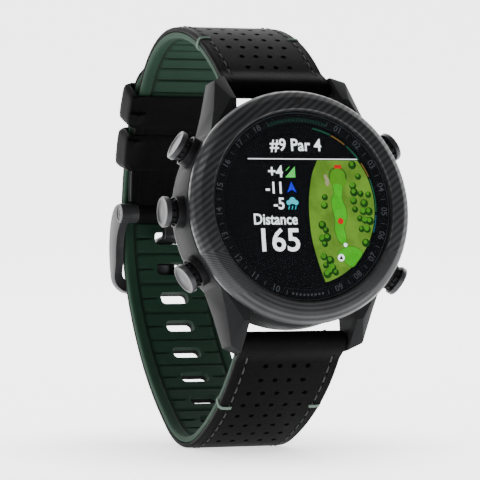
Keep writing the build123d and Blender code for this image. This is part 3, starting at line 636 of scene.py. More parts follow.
def draw_display():
    outline = smooth_line(LEFT_SIDE) + [(x, y) for x, y in reversed(right_side())]
    layer_of("course_ground", "rough", lambda b, z: polygon(b, outline, z), 0.01)
    fairway = smooth_line([(6.9, 4.4), (7.0, 2.6), (6.4, 1.4), (6.5, -0.6), (6.9, -2.6), (6.7, -4.6), (7.3, -6.6),
                           (8.6, -7.6), (9.0, -6.2), (8.7, -4.2), (9.4, -2.2), (9.3, -0.4), (8.6, 1.4), (8.7, 2.8),
                           (8.9, 4.4), (8.0, 4.9)], 6, True)
    tee = smooth_line([(8.4, -8.2), (10.2, -7.9), (12.2, -9.0), (11.0, -10.9), (9.8, -11.9), (8.0, -10.6),
                       (7.0, -9.3)], 6, True)
    layer_of("course_borders", "shade", lambda b, z: (
        stroke(b, fairway, 0.22, z, True), stroke(b, tee, 0.2, z, True), dot(b, 8.0, 5.9, 1.95, z, 32)), 0.02)
    layer_of("course_fairway", "lime", lambda b, z: (polygon(b, fairway, z), polygon(b, tee, z)), 0.03)
    layer_of("course_green", "putting", lambda b, z: (
        dot(b, 8.0, 6.0, 1.6, z, 32, 0.95), dot(b, 7.1, 5.2, 0.8, z + 0.002, 24), dot(b, 8.9, 5.0, 0.9, z + 0.004, 24)),
        0.05)
    layer_of("course_sand", "sand", lambda b, z: (
        dot(b, 5.7, 4.9, 0.45, z, 20, 2.0), dot(b, 5.4, 5.9, 0.35, z + 0.002, 20, 1.3)), 0.05)

    def trees(b, z):
        for k, (x, y) in enumerate(LEFT_TREES + RIGHT_TREES):
            dot(b, x + 0.08, y - 0.1, 0.66 + 0.1 * ((k * 7) % 3), z + 0.0005 * k, 11)

    def tops(b, z):
        for k, (x, y) in enumerate(LEFT_TREES + RIGHT_TREES):
            dot(b, x - 0.05, y + 0.14, 0.32 + 0.12 * ((k * 5) % 3), z + 0.0005 * k, 11)
    layer_of("course_trees", "tree", trees, 0.055)
    layer_of("course_treetops", "leaf", tops, 0.075)

    def whites(b, z):
        words(b, "#9 Par 4", -0.45, 12.0, 3.35, z, squeeze=0.93, bold=0.05)
        stroke(b, [(-10.7, 9.35), (12.4, 9.35)], 0.17, z)
        words(b, "+4", -3.5, 6.75, 3.2, z, align="RIGHT", squeeze=0.92, bold=0.06)
        words(b, "-11", -3.5, 3.55, 3.2, z, align="RIGHT", squeeze=0.92, bold=0.06)
        words(b, "-5", -3.5, 0.45, 3.2, z, align="RIGHT", squeeze=0.92, bold=0.06)
        words(b, "Distance", -5.7, -2.6, 3.0, z, squeeze=0.88, bold=0.05)
        words(b, "165", -5.3, -6.8, 6.3, z, squeeze=1.0, bold=0.09)
        dot(b, 8.7, -7.6, 0.4, z + 0.05, 16)
        dot(b, 7.6, -10.1, 0.72, z + 0.05, 24)
    layer_of("display_figures", "white", whites, 0.04)
    layer_of("marker_arrow", "dark", lambda b, z: polygon(b, [(7.15, -10.45), (8.05, -10.45), (7.6, -9.6)], z), 0.1)

    def reds(b, z):
        polygon(b, [(7.4, 7.5), (8.9, 7.5), (8.9, 8.2), (7.4, 8.2)], z)
        dot(b, 8.0, -2.9, 0.62, z, 20)
    layer_of("flag_and_target", "red", reds, 0.09)
    layer_of("slope_sign", "sign", lambda b, z: (
        polygon(b, [(-3.1, 5.7), (-0.95, 5.7), (-0.95, 7.9)], z), stroke(b, SLOPE_ARROW, 0.14, z)), 0.04)
    layer_of("wind_sign", "blue", lambda b, z: polygon(b, WIND_ARROW, z), 0.04)

    def cloud(b, z):
        for x, y, r in ((-2.7, 0.75, 0.5), (-1.9, 1.15, 0.68), (-1.15, 0.75, 0.5)):
            dot(b, x, y, r, z + 0.001 * (x + 3), 18)
        for x in (-2.6, -1.9, -1.2):
            stroke(b, [(x, 0.1), (x - 0.2, -0.6)], 0.16, z)
    layer_of("weather_sign", "cyan", cloud, 0.04)
    spans = [(78, 64, "teal"), (63, 51, "amber"), (49, 36, "teal"), (33, 22, "amber"), (20, -4, "teal"),
             (-6, -19, "sky")]
    for k, (a0, a1, color) in enumerate(spans):
        layer_of(f"gauge_{k}", color, lambda b, z: flat_ring(
            b, 15.62, 15.86, z, 14, math.radians(a1), math.radians(a0 - a1)), 0.04)

    def top_dots(b, z):
        for k in range(-10, 11):
            a = math.radians(90 + k * 2.0)
            flat_ring(b, 16.7, 17.35, z, 2, a - 0.011, 0.022)
    # painted glow: the arc marks printed on the hour ring are given the dim green emission of lit_moss
    bm = bmesh.new()
    top_dots(bm, RING_PRINT_Z)
    finish_mesh(bm, "ring_arc_marks", L["moss"], recalc=False, smooth=False)


make_bezel()
bezel_triangle()
make_ring_print()
draw_display()


# ---------------------------------------------------------------- straps
class Path:
    """Line between leather and lining, in the (y, z) plane of the dial, as tangent arcs."""

    def __init__(self, y, z, heading, arcs, side):
        self.side, self.spans = side, []
        s = 0.0
        h = math.radians(heading)
        for radius, turn in arcs:
            turn = math.radians(turn)
            length = radius * abs(turn)
            bend = turn / length
            self.spans.append((s, s + length, y, z, h, bend))
            across, down = math.sin(h + turn) - math.sin(h), math.cos(h + turn) - math.cos(h)
            y, z = y + across / bend, z - down / bend
            h, s = h + turn, s + length
        self.length = s

    def frame(self, s):
        for span in self.spans:
            if s <= span[1] + 1e-9:
                break
        a, _, y, z, h, bend = span
        e = h + bend * (s - a)
        point = (y + (math.sin(e) - math.sin(h)) / bend, z - (math.cos(e) - math.cos(h)) / bend)
        along = (math.cos(e), math.sin(e))
        out = (-self.side * math.sin(e), self.side * math.cos(e))
        return point, along, out

    def at(self, s, offset):
        (y, z), _, (oy, oz) = self.frame(s)
        return y + oy * offset, z + oz * offset


PIN_Y, PIN_Z = 25.2, -10.0
UPPER = Path(PIN_Y, PIN_Z, -35.3, [(45, -14.8), (39, -34), (24, -64), (55, -23.7)], 1)
LOWER = Path(-PIN_Y, PIN_Z, -136.9,
             [(54.3, 34), (19.1, 53.9), (62, 32.4), (39.2, 36), (70, 13), (57.7, 13)], -1)
BUCKLE_Y, BUCKLE_Z = UPPER.at(UPPER.length, 0)
LEATHER_T, LINING_T, WRAP_R, BORE_R = 1.1, 1.3, 2.1, 0.98
HALF_W, HALF_E = 11.0, 10.0
LINING_START, LINING_END = 3.4, 59.0
TAIL_HOLE, SLOT_PITCH, SLOT_W, SLOT_L = 98.6, 6.9, 6.2, 2.8


def half_width(z):
    """Half the strap's width at a depth behind the dial."""
    t = min(max((-18.0 - z) / (-18.0 - (BUCKLE_Z + 12.0)), 0.0), 1.0)
    return HALF_W + (HALF_E - HALF_W) * t


def round_box(s, u, cs, cu, ls, lu, r):
    """Distance outside a rounded rectangle centred on (cs, cu)."""
    a, b = abs(s - cs) - ls + r, abs(u - cu) - lu + r
    return math.hypot(max(a, 0), max(b, 0)) + min(max(a, b), 0) - r


class Strip:
    """A solid strip along a path. Rows run along it and columns across; holes are cut clean through,
    dimples and grooves sink into the shown surface."""

    def __init__(self, path, rows, columns):
        self.path, self.rows, self.columns = path, rows, columns

    def build(self, name, material, replaces, top, bottom, sign, cuts=(), body="watch", round_edge=0.45,
              tip=None):
        """top and bottom give offsets (mm) at (s, u) plus the edge tone and the painted shade of holes and grooves."""
        bm = bmesh.new()
        edge_tone, recess_shade_tone = {}, {}
        grids = ([], [])
        for s in self.rows:
            lines = ([], [])
            for f in self.columns:
                ss, uu, sdf = self.snap(s, f, cuts)
                (y, z), _, (oy, oz) = self.wrap_frame(ss)
                w = self.width(ss, z, tip)
                u = max(min(uu, w), -w) if abs(f) < 1 else math.copysign(w, f)
                inset = w - abs(u)
                drop = round_edge - math.sqrt(max(round_edge ** 2 - max(round_edge - inset, 0) ** 2, 0)) \
                    if inset < round_edge else 0.0
                t, et, ht = top(ss, u, w)
                b, eb, hb = bottom(ss, u, w)
                t -= sign * drop * 0.9
                b += sign * drop * 0.25
                for k, (offset, e, h) in enumerate(((t, et, ht), (b, eb, hb))):
                    v = bm.verts.new(place(u, y + oy * offset, z + oz * offset))
                    edge_tone[v], recess_shade_tone[v] = e, h
                    lines[k].append((v, sdf))
            grids[0].append(lines[0])
            grids[1].append(lines[1])
        n, m = len(self.rows), len(self.columns)
        solid = [[self.keep(grids[0], i, j, cuts) for j in range(m - 1)] for i in range(n - 1)]
        for i in range(n - 1):
            for j in range(m - 1):
                if not solid[i][j]:
                    continue
                for g in grids:
                    q = (g[i][j][0], g[i + 1][j][0], g[i + 1][j + 1][0], g[i][j + 1][0])
                    bm.faces.new(q)
                for di, dj, a, b in ((-1, 0, (i, j), (i, j + 1)), (1, 0, (i + 1, j), (i + 1, j + 1)),
                                     (0, -1, (i, j), (i + 1, j)), (0, 1, (i, j + 1), (i + 1, j + 1))):
                    p, q = i + di, j + dj
                    if 0 <= p < n - 1 and 0 <= q < m - 1 and solid[p][q]:
                        continue
                    t0, t1 = grids[0][a[0]][a[1]][0], grids[0][b[0]][b[1]][0]
                    b0, b1 = grids[1][a[0]][a[1]][0], grids[1][b[0]][b[1]][0]
                    bm.faces.new((t0, t1, b1, b0))
        bmesh.ops.recalc_face_normals(bm, faces=bm.faces)
        # the hole layer carries painted shade for punched holes and lining grooves
        layers = {"edge": edge_tone, "hole": recess_shade_tone}
        bm.verts.ensure_lookup_table()
        values = {k: [float(t.get(v, 0.0)) for v in bm.verts] for k, t in layers.items()}
        obj = finish_mesh(bm, name, material, body, replaces, recalc=False)
        for k, v in values.items():
            attribute = obj.data.attributes.new(k, "FLOAT", "POINT")
            attribute.data.foreach_set("value", v)
        return obj

    def wrap_frame(self, s):
        """Past the lug pin the strip goes round it: s below zero is length round the pin."""
        if s >= 0:
            return self.path.frame(s)
        (y, z), along, out = self.path.frame(0)
        turn = min(-s / WRAP_R, math.pi)
        past = max(-s - math.pi * WRAP_R, 0)
        o = tuple(math.cos(turn) * out[k] - math.sin(turn) * along[k] for k in (0, 1))
        return (y + along[0] * past, z + along[1] * past), along, o

    def width(self, s, z, tip):
        w = half_width(z)
        if tip is not None:
            end, reach = tip
            if s > end - reach:
                t = min((s - (end - reach)) / reach, 1.0)
                w = w - (w - 4.2) * (1 - math.sqrt(max(1 - t * t, 0)))
        return w

    def snap(self, s, f, cuts):
        """Move a grid point that is close to a hole's rim onto it."""
        (_, z), _, _ = self.wrap_frame(s)
        u = f * half_width(z)
        for cs, cu, ls, lu, r, reach in cuts:
            if abs(s - cs) > ls + reach or abs(u - cu) > lu + reach:
                continue
            d = round_box(s, u, cs, cu, ls, lu, r)
            if abs(d) < reach:
                e = 0.01
                gs = round_box(s + e, u, cs, cu, ls, lu, r) - d
                gu = round_box(s, u + e, cs, cu, ls, lu, r) - d
                g = math.hypot(gs, gu) or 1.0
                return s - d * gs / g, u - d * gu / g, 0.0
            return s, u, d
        return s, u, 9.0

    @staticmethod
    def keep(grid, i, j, cuts):
        values = [grid[i + a][j + b][1] for a in (0, 1) for b in (0, 1)]
        return not (min(values) < -0.02 or (max(values) <= 0.001))


def spread(*stretches):
    """Values along a strip: (start, end, step) stretches joined."""
    out = []
    for a, b, step in stretches:
        n = max(int(round((b - a) / step)), 1)
        out += [a + (b - a) * k / n for k in range(n)]
    return out + [stretches[-1][1]]


ROW_START, ROW_PITCH, ROW_COUNT = 5.2, 3.75, 8
HOLE_R, HOLE_PITCH = 0.42, 3.0


def punched():
    """Places of the small punched holes near the case."""
    spots = []
    for k in range(ROW_COUNT):
        s = ROW_START + ROW_PITCH * k
        for c in ((-2, -1, 0, 1, 2) if k > 1 else (-1.5, -0.5, 0.5, 1.5)):
            spots.append((s, c * HOLE_PITCH))
    return spots


PUNCHED = punched()


def punch_depth(s, u):
    """Depth of a punched hole, and its tone: painted shade that darkens the inside of the hole."""
    depth, tone = 0.0, 0.0
    k = round((s - ROW_START) / ROW_PITCH)
    if 0 <= k < ROW_COUNT:
        for cs, cu in PUNCHED:
            if abs(s - cs) < 1.0 and abs(u - cu) < 1.0:
                r = math.hypot(s - cs, u - cu)
                if r < HOLE_R + 0.25:
                    t = min(max((HOLE_R + 0.08 - r) / 0.14, 0.0), 1.0)
                    rim = max(0.0, 1 - abs(r - HOLE_R - 0.1) / 0.15)
                    depth, tone = 0.75 * t - 0.03 * rim, t
    return depth, tone


STITCH_IN = 2.0


def crease(distance, width, depth):
    """A groove's depth at a distance from its line."""
    return depth * max(0.0, 1 - (distance / width) ** 2) if abs(distance) < width else 0.0


def leather_top():
    def shape(s, u, w):
        if s < 0:
            past = -s - math.pi * WRAP_R
            base = WRAP_R if past < 0 else WRAP_R - (WRAP_R - LINING_T) * min(past / LINING_START, 1)
            return base, 0.0, 0.0
        blend = min(s / 4.2, 1.0)
        blend = blend * blend * (3 - 2 * blend)
        base = WRAP_R + (LEATHER_T - WRAP_R) * blend
        # tone is the painted shade inside a punched hole
        depth, tone = punch_depth(s, u)
        line = crease(w - abs(u) - STITCH_IN, 0.34, 0.16) if s > 2 else 0.0
        rim = crease(w - abs(u) - 1.05, 0.22, 0.06)
        close = max(0.0, 1 - (w - abs(u)) / 0.5) * 0.6
        swell = 0.10 * math.sin(min((w - abs(u)) / 3.0, 1.0) * math.pi / 2)
        return base - depth - line - rim + swell - 0.1, close, tone
    return shape


def leather_bottom():
    def shape(s, u, w):
        if s < 0:
            past = -s - math.pi * WRAP_R
            return (BORE_R if past < 0 else BORE_R - (BORE_R - 0.1) * min(past / LINING_START, 1)), 0.0, 0.0
        blend = min(s / 3.4, 1.0)
        return BORE_R * (1 - blend), 0.6 if w - abs(u) < 0.4 else 0.0, 0.0
    return shape


WRAP_ROWS = [-(math.pi * WRAP_R + LINING_START) + 0.34 * k for k in range(29)]
FLAP = [s for s in WRAP_ROWS if s < -0.1]


def columns(step, edge=1.0):
    """Fractions of the half width: evenly spaced, closer together at the edges."""
    inner = HALF_W - edge
    n = int(round(inner / step))
    half = [inner * k / n for k in range(n + 1)]
    half += [HALF_W - edge * e for e in (0.72, 0.5, 0.34, 0.2, 0.1, 0.03)]
    half = [h / HALF_W for h in half] + [1.0]
    return [-h for h in reversed(half[1:])] + half


def slot_cuts(first, last):
    found = []
    for k in range(10):
        s = TAIL_HOLE + (2 - k) * SLOT_PITCH
        if first < s < last:
            found.append((s, 0.0, SLOT_L / 2, SLOT_W / 2, 1.0, 0.16))
    return found


TAIL = LOWER.length


def slot_rows():
    rows = spread((36.0, TAIL, 0.4))
    for s, _, l, _, _, _ in slot_cuts(0, TAIL):
        rows = [r for r in rows if abs(r - s) > l + 0.55] + spread((s - l - 0.5, s + l + 0.5, 0.22))
    return sorted(rows)


def slot_columns():
    half = spread((0.0, 1.9, 0.48), (1.9, 3.5, 0.16), (3.5, 8.2, 0.6), (8.2, 9.2, 0.2), (9.2, 10.0, 0.26),
                  (10.0, 11.0, 0.14))
    half = sorted(set(round(h, 4) for h in half))
    return [-h / HALF_W for h in reversed(half[1:])] + [h / HALF_W for h in half]


TANG_GAP, FOLD_R = 3.05, 2.12
EYE_MIDDLE = 10.2


def buckle_cuts():
    """Room in the strap's end for the tang and for the frame's eyes."""
    end = UPPER.length
    eyes = [(end, side * EYE_MIDDLE, 2.5, 1.8, 0.5, 0.12) for side in (1, -1)]
    return [(end, 0.0, 3.0, TANG_GAP, 0.6, 0.12)] + eyes


def buckle_fold():
    """The strap's leather where it wraps round the buckle pin."""
    bm = bmesh.new()

    def to_row(a, b, h):
        return place(h, BUCKLE_Y + a, BUCKLE_Z + b)
    for side in (-1, 1):
        x0, x1 = side * TANG_GAP, side * 8.35
        outline = rounded([(1.05, x0), (FOLD_R, x0), (FOLD_R, x1), (1.05, x1)], 0.3, 3)
        lathe(bm, outline, to_row, 48)
    return finish_mesh(bm, "buckle_fold", M["leather"])


def straps():
    near = spread((0.0, 1.2, 0.3), (1.2, 34.0, 0.155))
    ends = buckle_cuts()
    far = spread((34.3, UPPER.length - 4, 0.6), (UPPER.length - 4, UPPER.length, 0.2))
    upper = Strip(UPPER, FLAP + near + far, columns(0.17))
    upper.build("upper_leather_skin", M["leather"], ("upper_leather",),
                leather_top(), leather_bottom(), 1, ends)
    lower_near = Strip(LOWER, FLAP + near + [34.3, 34.9, 35.4, 36.0], columns(0.17))
    lower_near.build("lower_leather_skin", M["leather"], (),
                     leather_top(), leather_bottom(), 1)
    slotted = Strip(LOWER, slot_rows(), slot_columns())
    tip = (TAIL, 7.0)
    slotted.build("lower_leather_tail", M["leather"], ("lower_leather",),
                  leather_top(), leather_bottom(), 1, slot_cuts(0, TAIL), tip=tip)


straps()


def lining_shape(first, cut_slots):
    """Offsets of the lining's shown face: cross grooves, some broken by the slots, and edge borders."""
    half = SLOT_PITCH / 2

    def shown(s, u, w):
        side = w - abs(u)
        depth = tone = 0.0
        if s > first + 2:
            border = crease(side - 2.4, 0.42, 0.30)
            k = round((s - TAIL_HOLE) / half)
            gs = s - (TAIL_HOLE + k * half)
            at_slot = cut_slots and k % 2 == 0 and -7 * 2 - 1 < k < 2 * 2 + 1
            near, far = (4.3, w - 3.3) if at_slot else (0.0, w - 3.3)
            over = max(near - abs(u), abs(u) - far, 0.0)
            run = crease(gs, 0.34, 0.34) * max(0.0, 1 - over / 0.3)
            blob = crease(math.hypot(gs, abs(u) - far), 0.5, 0.38)
            depth = max(border, run, blob)
            # painted shade: the grooves darken with their depth
            tone = min(depth / 0.3, 1.0)
        band = max(0.0, 1 - side / 0.9)
        return -LINING_T + depth, band, tone

    def hidden(s, u, w):
        return -0.04, 1.0 if w - abs(u) < 0.3 else 0.0, 0.0
    return shown, hidden


def linings():
    shown, hidden = lining_shape(LINING_START, False)
    Strip(UPPER, spread((LINING_START, LINING_END, 0.3)), slot_columns()).build(
        "upper_lining_skin", M["lining"], ("upper_lining",), shown, hidden, -1)
    shown, hidden = lining_shape(LINING_START, True)
    rows = spread((LINING_START, 35.7, 0.4)) + slot_rows()
    Strip(LOWER, rows, slot_columns()).build(
        "lower_lining_skin", M["lining"], ("lower_lining",), shown, hidden, -1,
        slot_cuts(0, TAIL), tip=(TAIL, 7.0))

    def fold_top(s, u, w):
        return -LINING_T - 0.02 + crease(w - abs(u) - STITCH_IN, 0.34, 0.12), 0.0, 0.0

    def fold_bottom(s, u, w):
        return -0.03, 0.4 if w - abs(u) < 0.3 else 0.0, 0.0
    Strip(UPPER, spread((LINING_END + 0.1, UPPER.length, 0.2)), columns(0.17)).build(
        "upper_fold_back", M["leather"], (), fold_top, fold_bottom, -1, buckle_cuts())


linings()
buckle_fold()


def tube(bm, points, radius, steps=6):
    """Rounded thread along row-frame points."""
    rings = []
    for i, p in enumerate(points):
        d = (points[min(i + 1, len(points) - 1)] - points[max(i - 1, 0)]).normalized()
        a = d.orthogonal().normalized()
        b = d.cross(a)
        r = radius * (0.45 if i in (0, len(points) - 1) else 1.0)
        rings.append([bm.verts.new(p + (a * math.cos(t) + b * math.sin(t)) * r)
                      for t in (2 * math.pi * k / steps for k in range(steps))])
    for a, b in zip(rings, rings[1:]):
        # keep rings lined up so the skin does not twist
        shift = min(range(steps), key=lambda k: (a[0].co - b[k].co).length)
        b[:] = b[shift:] + b[:shift]
        for k in range(steps):
            bm.faces.new((a[k], a[(k + 1) % steps], b[(k + 1) % steps], b[k]))
    bm.faces.new(rings[0])
    bm.faces.new(rings[-1])


def on_strap(path, s, u, offset):
    y, z = path.at(s, offset)
    return place(u, y, z)


def stitches(name, path, first, last, offset, material, pitch=2.7, length=2.0, inset=STITCH_IN, radius=0.17):
    bm = bmesh.new()
    s = first
    while s + length < last:
        for side in (-1, 1):
            _, z = path.at(s, 0)
            u = side * (half_width(z) - inset)
            points = []
            for k in range(6):
                t = k / 5
                sink = -0.22 if k in (0, 5) else 0.03
                lift = math.copysign(1, offset) * sink
                points.append(on_strap(path, s + length * t, u, offset + lift))
            tube(bm, points, radius * MM)
        s += pitch
    return finish_mesh(bm, name, material)


def bar_tack(bm, path, s, side):
    """Three strands of pale thread over the strap's edge, holding its layers together."""
    _, z = path.at(s, 0)
    w = half_width(z)
    for k in (-1, 0, 1):
        at = s + 0.27 * k
        points = [on_strap(path, at, side * u, o) for u, o in (
            (w - 2.7, 0.85), (w - 2.4, 1.22), (w - 1.2, 1.24), (w - 0.35, 1.12), (w + 0.05, 0.6), (w + 0.12, -0.2),
            (w + 0.05, -1.0), (w - 0.35, -1.42), (w - 1.2, -1.42), (w - 2.3, -1.4), (w - 2.5, -1.0))]
        tube(bm, points, 0.13 * MM)


def sewing():
    stitches("upper_stitching", UPPER, 2.6, LINING_END + 20, LEATHER_T - 0.02, M["thread_dark"])
    stitches("lower_stitching", LOWER, 2.6, TAIL - 8, LEATHER_T - 0.02, M["thread_dark"])
    bm = bmesh.new()
    for path in (UPPER, LOWER):
        for side in (-1, 1):
            bar_tack(bm, path, 17.0, side)
    finish_mesh(bm, "bar_tacks", M["thread_light"])


sewing()


# ---------------------------------------------------------------- keepers
def nearest(path, y, z):
    best, found = 1e9, 0.0
    for k in range(1601):
        s = path.length * k / 1600
        py, pz = path.at(s, 0)
        d = math.hypot(py - y, pz - z)
        if d < best:
            best, found = d, s
    return found


def keeper(name, node, span, gap, body):
    """Leather loop round both straps, thicker in the middle of its width than at its rims."""
    bm = bmesh.new()
    s0, s1 = UPPER.length - span[1], UPPER.length - span[0]
    thick, steps = 1.25, 14
    loops = []
    around = 88
    profile = []
    for k in range(steps + 1):
        t = k / steps
        profile.append((t, math.sqrt(max(1 - abs(2 * t - 1) ** 6, 0.0))))
    for t, fat in profile:
        s = s0 + (s1 - s0) * t
        near_y, near_z = UPPER.at(s, -LINING_T - gap)
        b = nearest(LOWER, *UPPER.at(s, LEATHER_T))
        far_y, far_z = LOWER.at(b, LEATHER_T + gap)
        mid = Vector(((near_y + far_y) / 2, (near_z + far_z) / 2))
        n = Vector((far_y - near_y, far_z - near_z))
        deep = n.length / 2
        n.normalize()
        wide = half_width(UPPER.at(s, 0)[1]) + 0.5 + gap
        grow = thick * (0.35 + 0.65 * fat)
        rows = []
        for extra in (0.0, grow):
            ring = []
            for k in range(around):
                a = 2 * math.pi * (k + 0.5) / around
                c, d = math.cos(a), math.sin(a)
                half_x, half_n, r = wide + extra, deep + extra, 0.9 + extra * 0.8
                power = 1 / max(abs(c) / half_x, abs(d) / half_n)
                px, pn = c * power, d * power
                px = math.copysign(min(abs(px), half_x), px)
                if d < 0 and extra:
                    pn += extra * 0.85 * min(abs(pn) / half_n, 1.0) ** 6
                ix, iy = max(abs(px) - (half_x - r), 0), max(abs(pn) - (half_n - r), 0)
                if ix > 0 and iy > 0:
                    h = math.hypot(ix, iy)
                    px = math.copysign(half_x - r + ix / h * r, px)
                    pn = math.copysign(half_n - r + iy / h * r, pn)
                ring.append(bm.verts.new(place(px, mid.x + n.x * pn, mid.y + n.y * pn)))
            rows.append(ring)
        loops.append(rows)
    for a, b in zip(loops, loops[1:]):
        for layer_index in (0, 1):
            for k in range(around):
                j = (k + 1) % around
                bm.faces.new((a[layer_index][k], a[layer_index][j], b[layer_index][j], b[layer_index][k]))
    for rows in (loops[0], loops[-1]):
        for k in range(around):
            j = (k + 1) % around
            bm.faces.new((rows[0][k], rows[0][j], rows[1][j], rows[1][k]))
    return finish_mesh(bm, name, M["leather"], body, (node,))


keeper("fixed_loop", "fixed_keeper", (9.2, 17.0), 0.15, "watch")
keeper("loose_loop", "loose_keeper", (18.8, 26.4), 0.35, "keeper")

# ---------------------------------------------------------------- metal parts
soft_copy("case_middle", "case_shell", M["case"], 0.16, 34, 2)
soft_copy("buckle_frame", "buckle_bow", M["bright"], 0.35, 34, 3)
soft_copy("buckle_tang", "buckle_tongue", M["steel"], 0.2, 34, 2)
soft_copy("back_cover", "back_plate", M["cover"], 0.1, 34, 2)

BUTTON_Z = -7.0


def radial_place(angle):
    """Placing function for a part turned about a line out from the middle of the case."""
    a = math.radians(angle)

    def to_row(x, y, r):
        return place(r * math.cos(a) - x * math.sin(a), r * math.sin(a) + x * math.cos(a), BUTTON_Z + y)
    return to_row


SLEEVE_BORE, SLEEVE_MOUTH, SLEEVE_R = 2.3, 2.75, 3.1
SLEEVE_IN, MOUTH_IN, SLEEVE_OUT = 22.1, 23.7, 24.2   # from the dial's axis; the mouth takes the pressed neck


def pusher(name, angle):
    to_row = radial_place(angle)
    body = name + "_push"
    cap = bmesh.new()
    profile = [(0.0, 25.5), (2.9, 25.5), (3.0, 25.62), (3.0, 26.42), (2.86, 26.6), (2.45, 26.6), (2.3, 26.5),
               (2.15, 26.42), (0.9, 26.42), (0.0, 26.46)]
    lathe(cap, profile, to_row, 64, closed=False)
    bmesh.ops.remove_doubles(cap, verts=cap.verts, dist=0.001 * MM)
    finish_mesh(cap, name + "_cap", M["cap"], body, (name + "_button",))
    neck = bmesh.new()
    steps = 96
    rings = []
    for r_axis, base in ((23.7, 2.05), (24.5, 2.1), (24.6, 2.55), (25.35, 2.62), (25.5, 2.5), (25.52, 1.0)):
        ring = []
        for k in range(steps):
            a = 2 * math.pi * k / steps
            notch = 0.5 + 0.5 * math.cos(a * 12)
            cut = 0.32 * min(max((notch - 0.55) / 0.2, 0), 1) if base > 2.3 else 0.0
            r = base - cut
            ring.append(neck.verts.new(to_row(r * math.cos(a), r * math.sin(a), r_axis)))
        rings.append(ring)
    for a, b in zip(rings, rings[1:]):
        for k in range(steps):
            neck.faces.new((a[k], a[(k + 1) % steps], b[(k + 1) % steps], b[k]))
    neck.faces.new(rings[0])
    neck.faces.new(rings[-1])
    finish_mesh(neck, name + "_neck", M["black_metal"], body)
    collar = bmesh.new()
    outline = rounded([(SLEEVE_BORE, SLEEVE_IN), (SLEEVE_R, SLEEVE_IN), (SLEEVE_R, SLEEVE_OUT),
                       (SLEEVE_MOUTH, SLEEVE_OUT), (SLEEVE_MOUTH, MOUTH_IN), (SLEEVE_BORE, MOUTH_IN)], 0.12, 4)
    lathe(collar, outline, to_row, 64)
    finish_mesh(collar, name + "_sleeve", M["black_metal"], "watch", (name + "_collar",))


def cap_metal():
    s = Shade("pusher_metal")
    n = s.noise(1500, 3)
    broad = s.noise(200, 2)
    tone = (n * 0.5 + broad * 0.5).clamp()
    s.set(Base_Color=s.mix((0.022, 0.022, 0.024), (0.045, 0.045, 0.048), tone), Metallic=0.45,
          Roughness=0.30 + n * 0.12, Normal=s.bump(n, 0.000004, 0.5))
    s.bsdf.inputs["Specular IOR Level"].default_value = 0.15
    return s.mat


M["cap"] = cap_metal()
for _name, _angle in PUSHERS.items():
    pusher(_name, _angle)


def pin_end(side):
    """Bright rimmed end of the buckle's pin, with a small hexagonal socket."""
    bm = bmesh.new()
    x0 = 12.05 * side

    def to_row(a, b, h):
        return place(x0 + side * h, BUCKLE_Y + a, BUCKLE_Z + b)
    profile = [(0.0, 0.05), (0.62, 0.05), (0.7, 0.14), (1.5, 0.16), (1.6, 0.3), (1.95, 0.3), (2.05, 0.2),
               (2.05, -0.3), (0.0, -0.3)]
    lathe(bm, profile, to_row, 48, closed=False)
    bmesh.ops.remove_doubles(bm, verts=bm.verts, dist=0.001 * MM)
    finish_mesh(bm, "pin_end_left" if side < 0 else "pin_end_right", M["cap"], "frame")
    # painted shade: the socket's walls and floor are coloured near-black, darker than the cap round them
    bm = bmesh.new()
    outer = [bm.verts.new(to_row(0.66 * math.cos(k * math.pi / 3), 0.66 * math.sin(k * math.pi / 3), 0.17))
             for k in range(6)]
    inner = [bm.verts.new(to_row(0.55 * math.cos(k * math.pi / 3), 0.55 * math.sin(k * math.pi / 3), 0.07))
             for k in range(6)]
    bm.faces.new(inner)
    for k in range(6):
        bm.faces.new((outer[k], outer[(k + 1) % 6], inner[(k + 1) % 6], inner[k]))
    finish_mesh(bm, "pin_socket_left" if side < 0 else "pin_socket_right", M["mark"], "frame")


pin_end(-1)
pin_end(1)

# ---------------------------------------------------------------- floor, light and camera


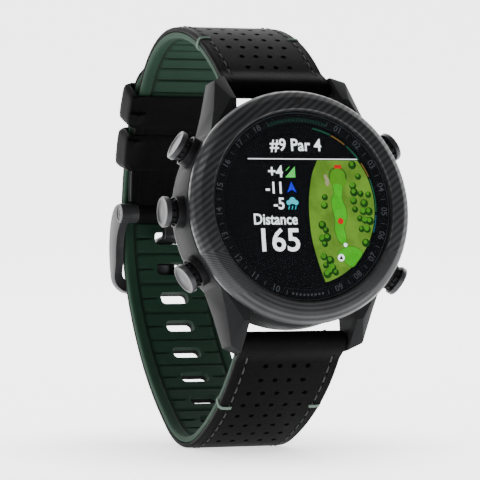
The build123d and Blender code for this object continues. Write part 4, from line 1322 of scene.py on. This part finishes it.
def floor():
    s = Shade("floor")
    n = s.noise(6, 3)
    s.set(Base_Color=s.mix((0.80, 0.80, 0.80), (0.83, 0.83, 0.83), n), Roughness=0.75 + n * 0.1)
    x, y, _ = s.axes()
    behind = y.smooth(-0.20, -0.06)
    # painted contact shadow: near marks a soft patch round the watch's foot where the floor's glow is dimmed by up to
    # 55 percent
    near = 1.0 - ((x * x + y * y * 0.5).sqrt()).smooth(0.006, 0.06)
    glow = (0.28 + behind * 0.72) * (1.0 - near * 0.55)
    s.set(Emission_Color=s.mix((0, 0, 0), (1, 1, 1), glow.clamp()), Emission_Strength=3.0)
    s.bsdf.inputs["Specular IOR Level"].default_value = 0.1
    bm = bmesh.new()
    profile = [(-2.5, 0.0), (0.9, 0.0)]
    radius = 0.8
    for k in range(1, 17):
        a = math.pi / 2 * k / 16
        profile.append((0.9 + radius * math.sin(a), radius - radius * math.cos(a)))
    profile.append((1.7, 4.0))
    rows = [[bm.verts.new((x, y, z)) for x in (-4.0, 4.0)] for y, z in profile]
    for a, b in zip(rows, rows[1:]):
        bm.faces.new((a[0], a[1], b[1], b[0]))
    mesh = bpy.data.meshes.new("floor")
    bm.to_mesh(mesh)
    bm.free()
    mesh.materials.append(s.mat)
    for p in mesh.polygons:
        p.use_smooth = True
    obj = bpy.data.objects.new("floor", mesh)
    bpy.context.scene.collection.objects.link(obj)
    obj.rotation_euler = (0, 0, math.radians(-23.3))


def light(name, where, size, power, aim=(0, 0, 0.04), shade=(1, 1, 1)):
    data = bpy.data.lights.new(name, "AREA")
    data.shape, data.size, data.size_y = "RECTANGLE", size[0], size[1]
    data.energy, data.color = power, shade
    obj = bpy.data.objects.new(name, data)
    obj.location = where
    obj.rotation_euler = (Vector(aim) - Vector(where)).to_track_quat("-Z", "Y").to_euler()
    bpy.context.scene.collection.objects.link(obj)


floor()
light("key", (-0.9, -0.55, 0.9), (0.45, 0.45), 6)
light("side", (-1.1, 0.1, 0.25), (0.35, 0.8), 3)
light("rim", (0.9, 0.35, 0.5), (0.3, 0.6), 1.5)
light("top", (0.0, 0.15, 1.1), (0.9, 0.6), 2)
world = bpy.data.worlds.new("world")
world.use_nodes = True
world.node_tree.nodes["Background"].inputs[0].default_value = (1, 1, 1, 1)
world.node_tree.nodes["Background"].inputs[1].default_value = 0.22
bpy.context.scene.world = world

VIEW = Vector((math.sin(math.radians(23.28)), math.cos(math.radians(23.28)), 0.0023)).normalized()
camera_data = bpy.data.cameras.new("camera")
camera_data.lens, camera_data.sensor_width, camera_data.clip_end = 240, 36, 20
camera = bpy.data.objects.new("camera", camera_data)
camera.location = DIAL - VIEW * 0.62
target = DIAL + Vector((-11.23, 4.83, -6.61)) * MM
camera.rotation_euler = (target - camera.location).to_track_quat("-Z", "Y").to_euler()
bpy.context.scene.collection.objects.link(camera)
bpy.context.scene.camera = camera
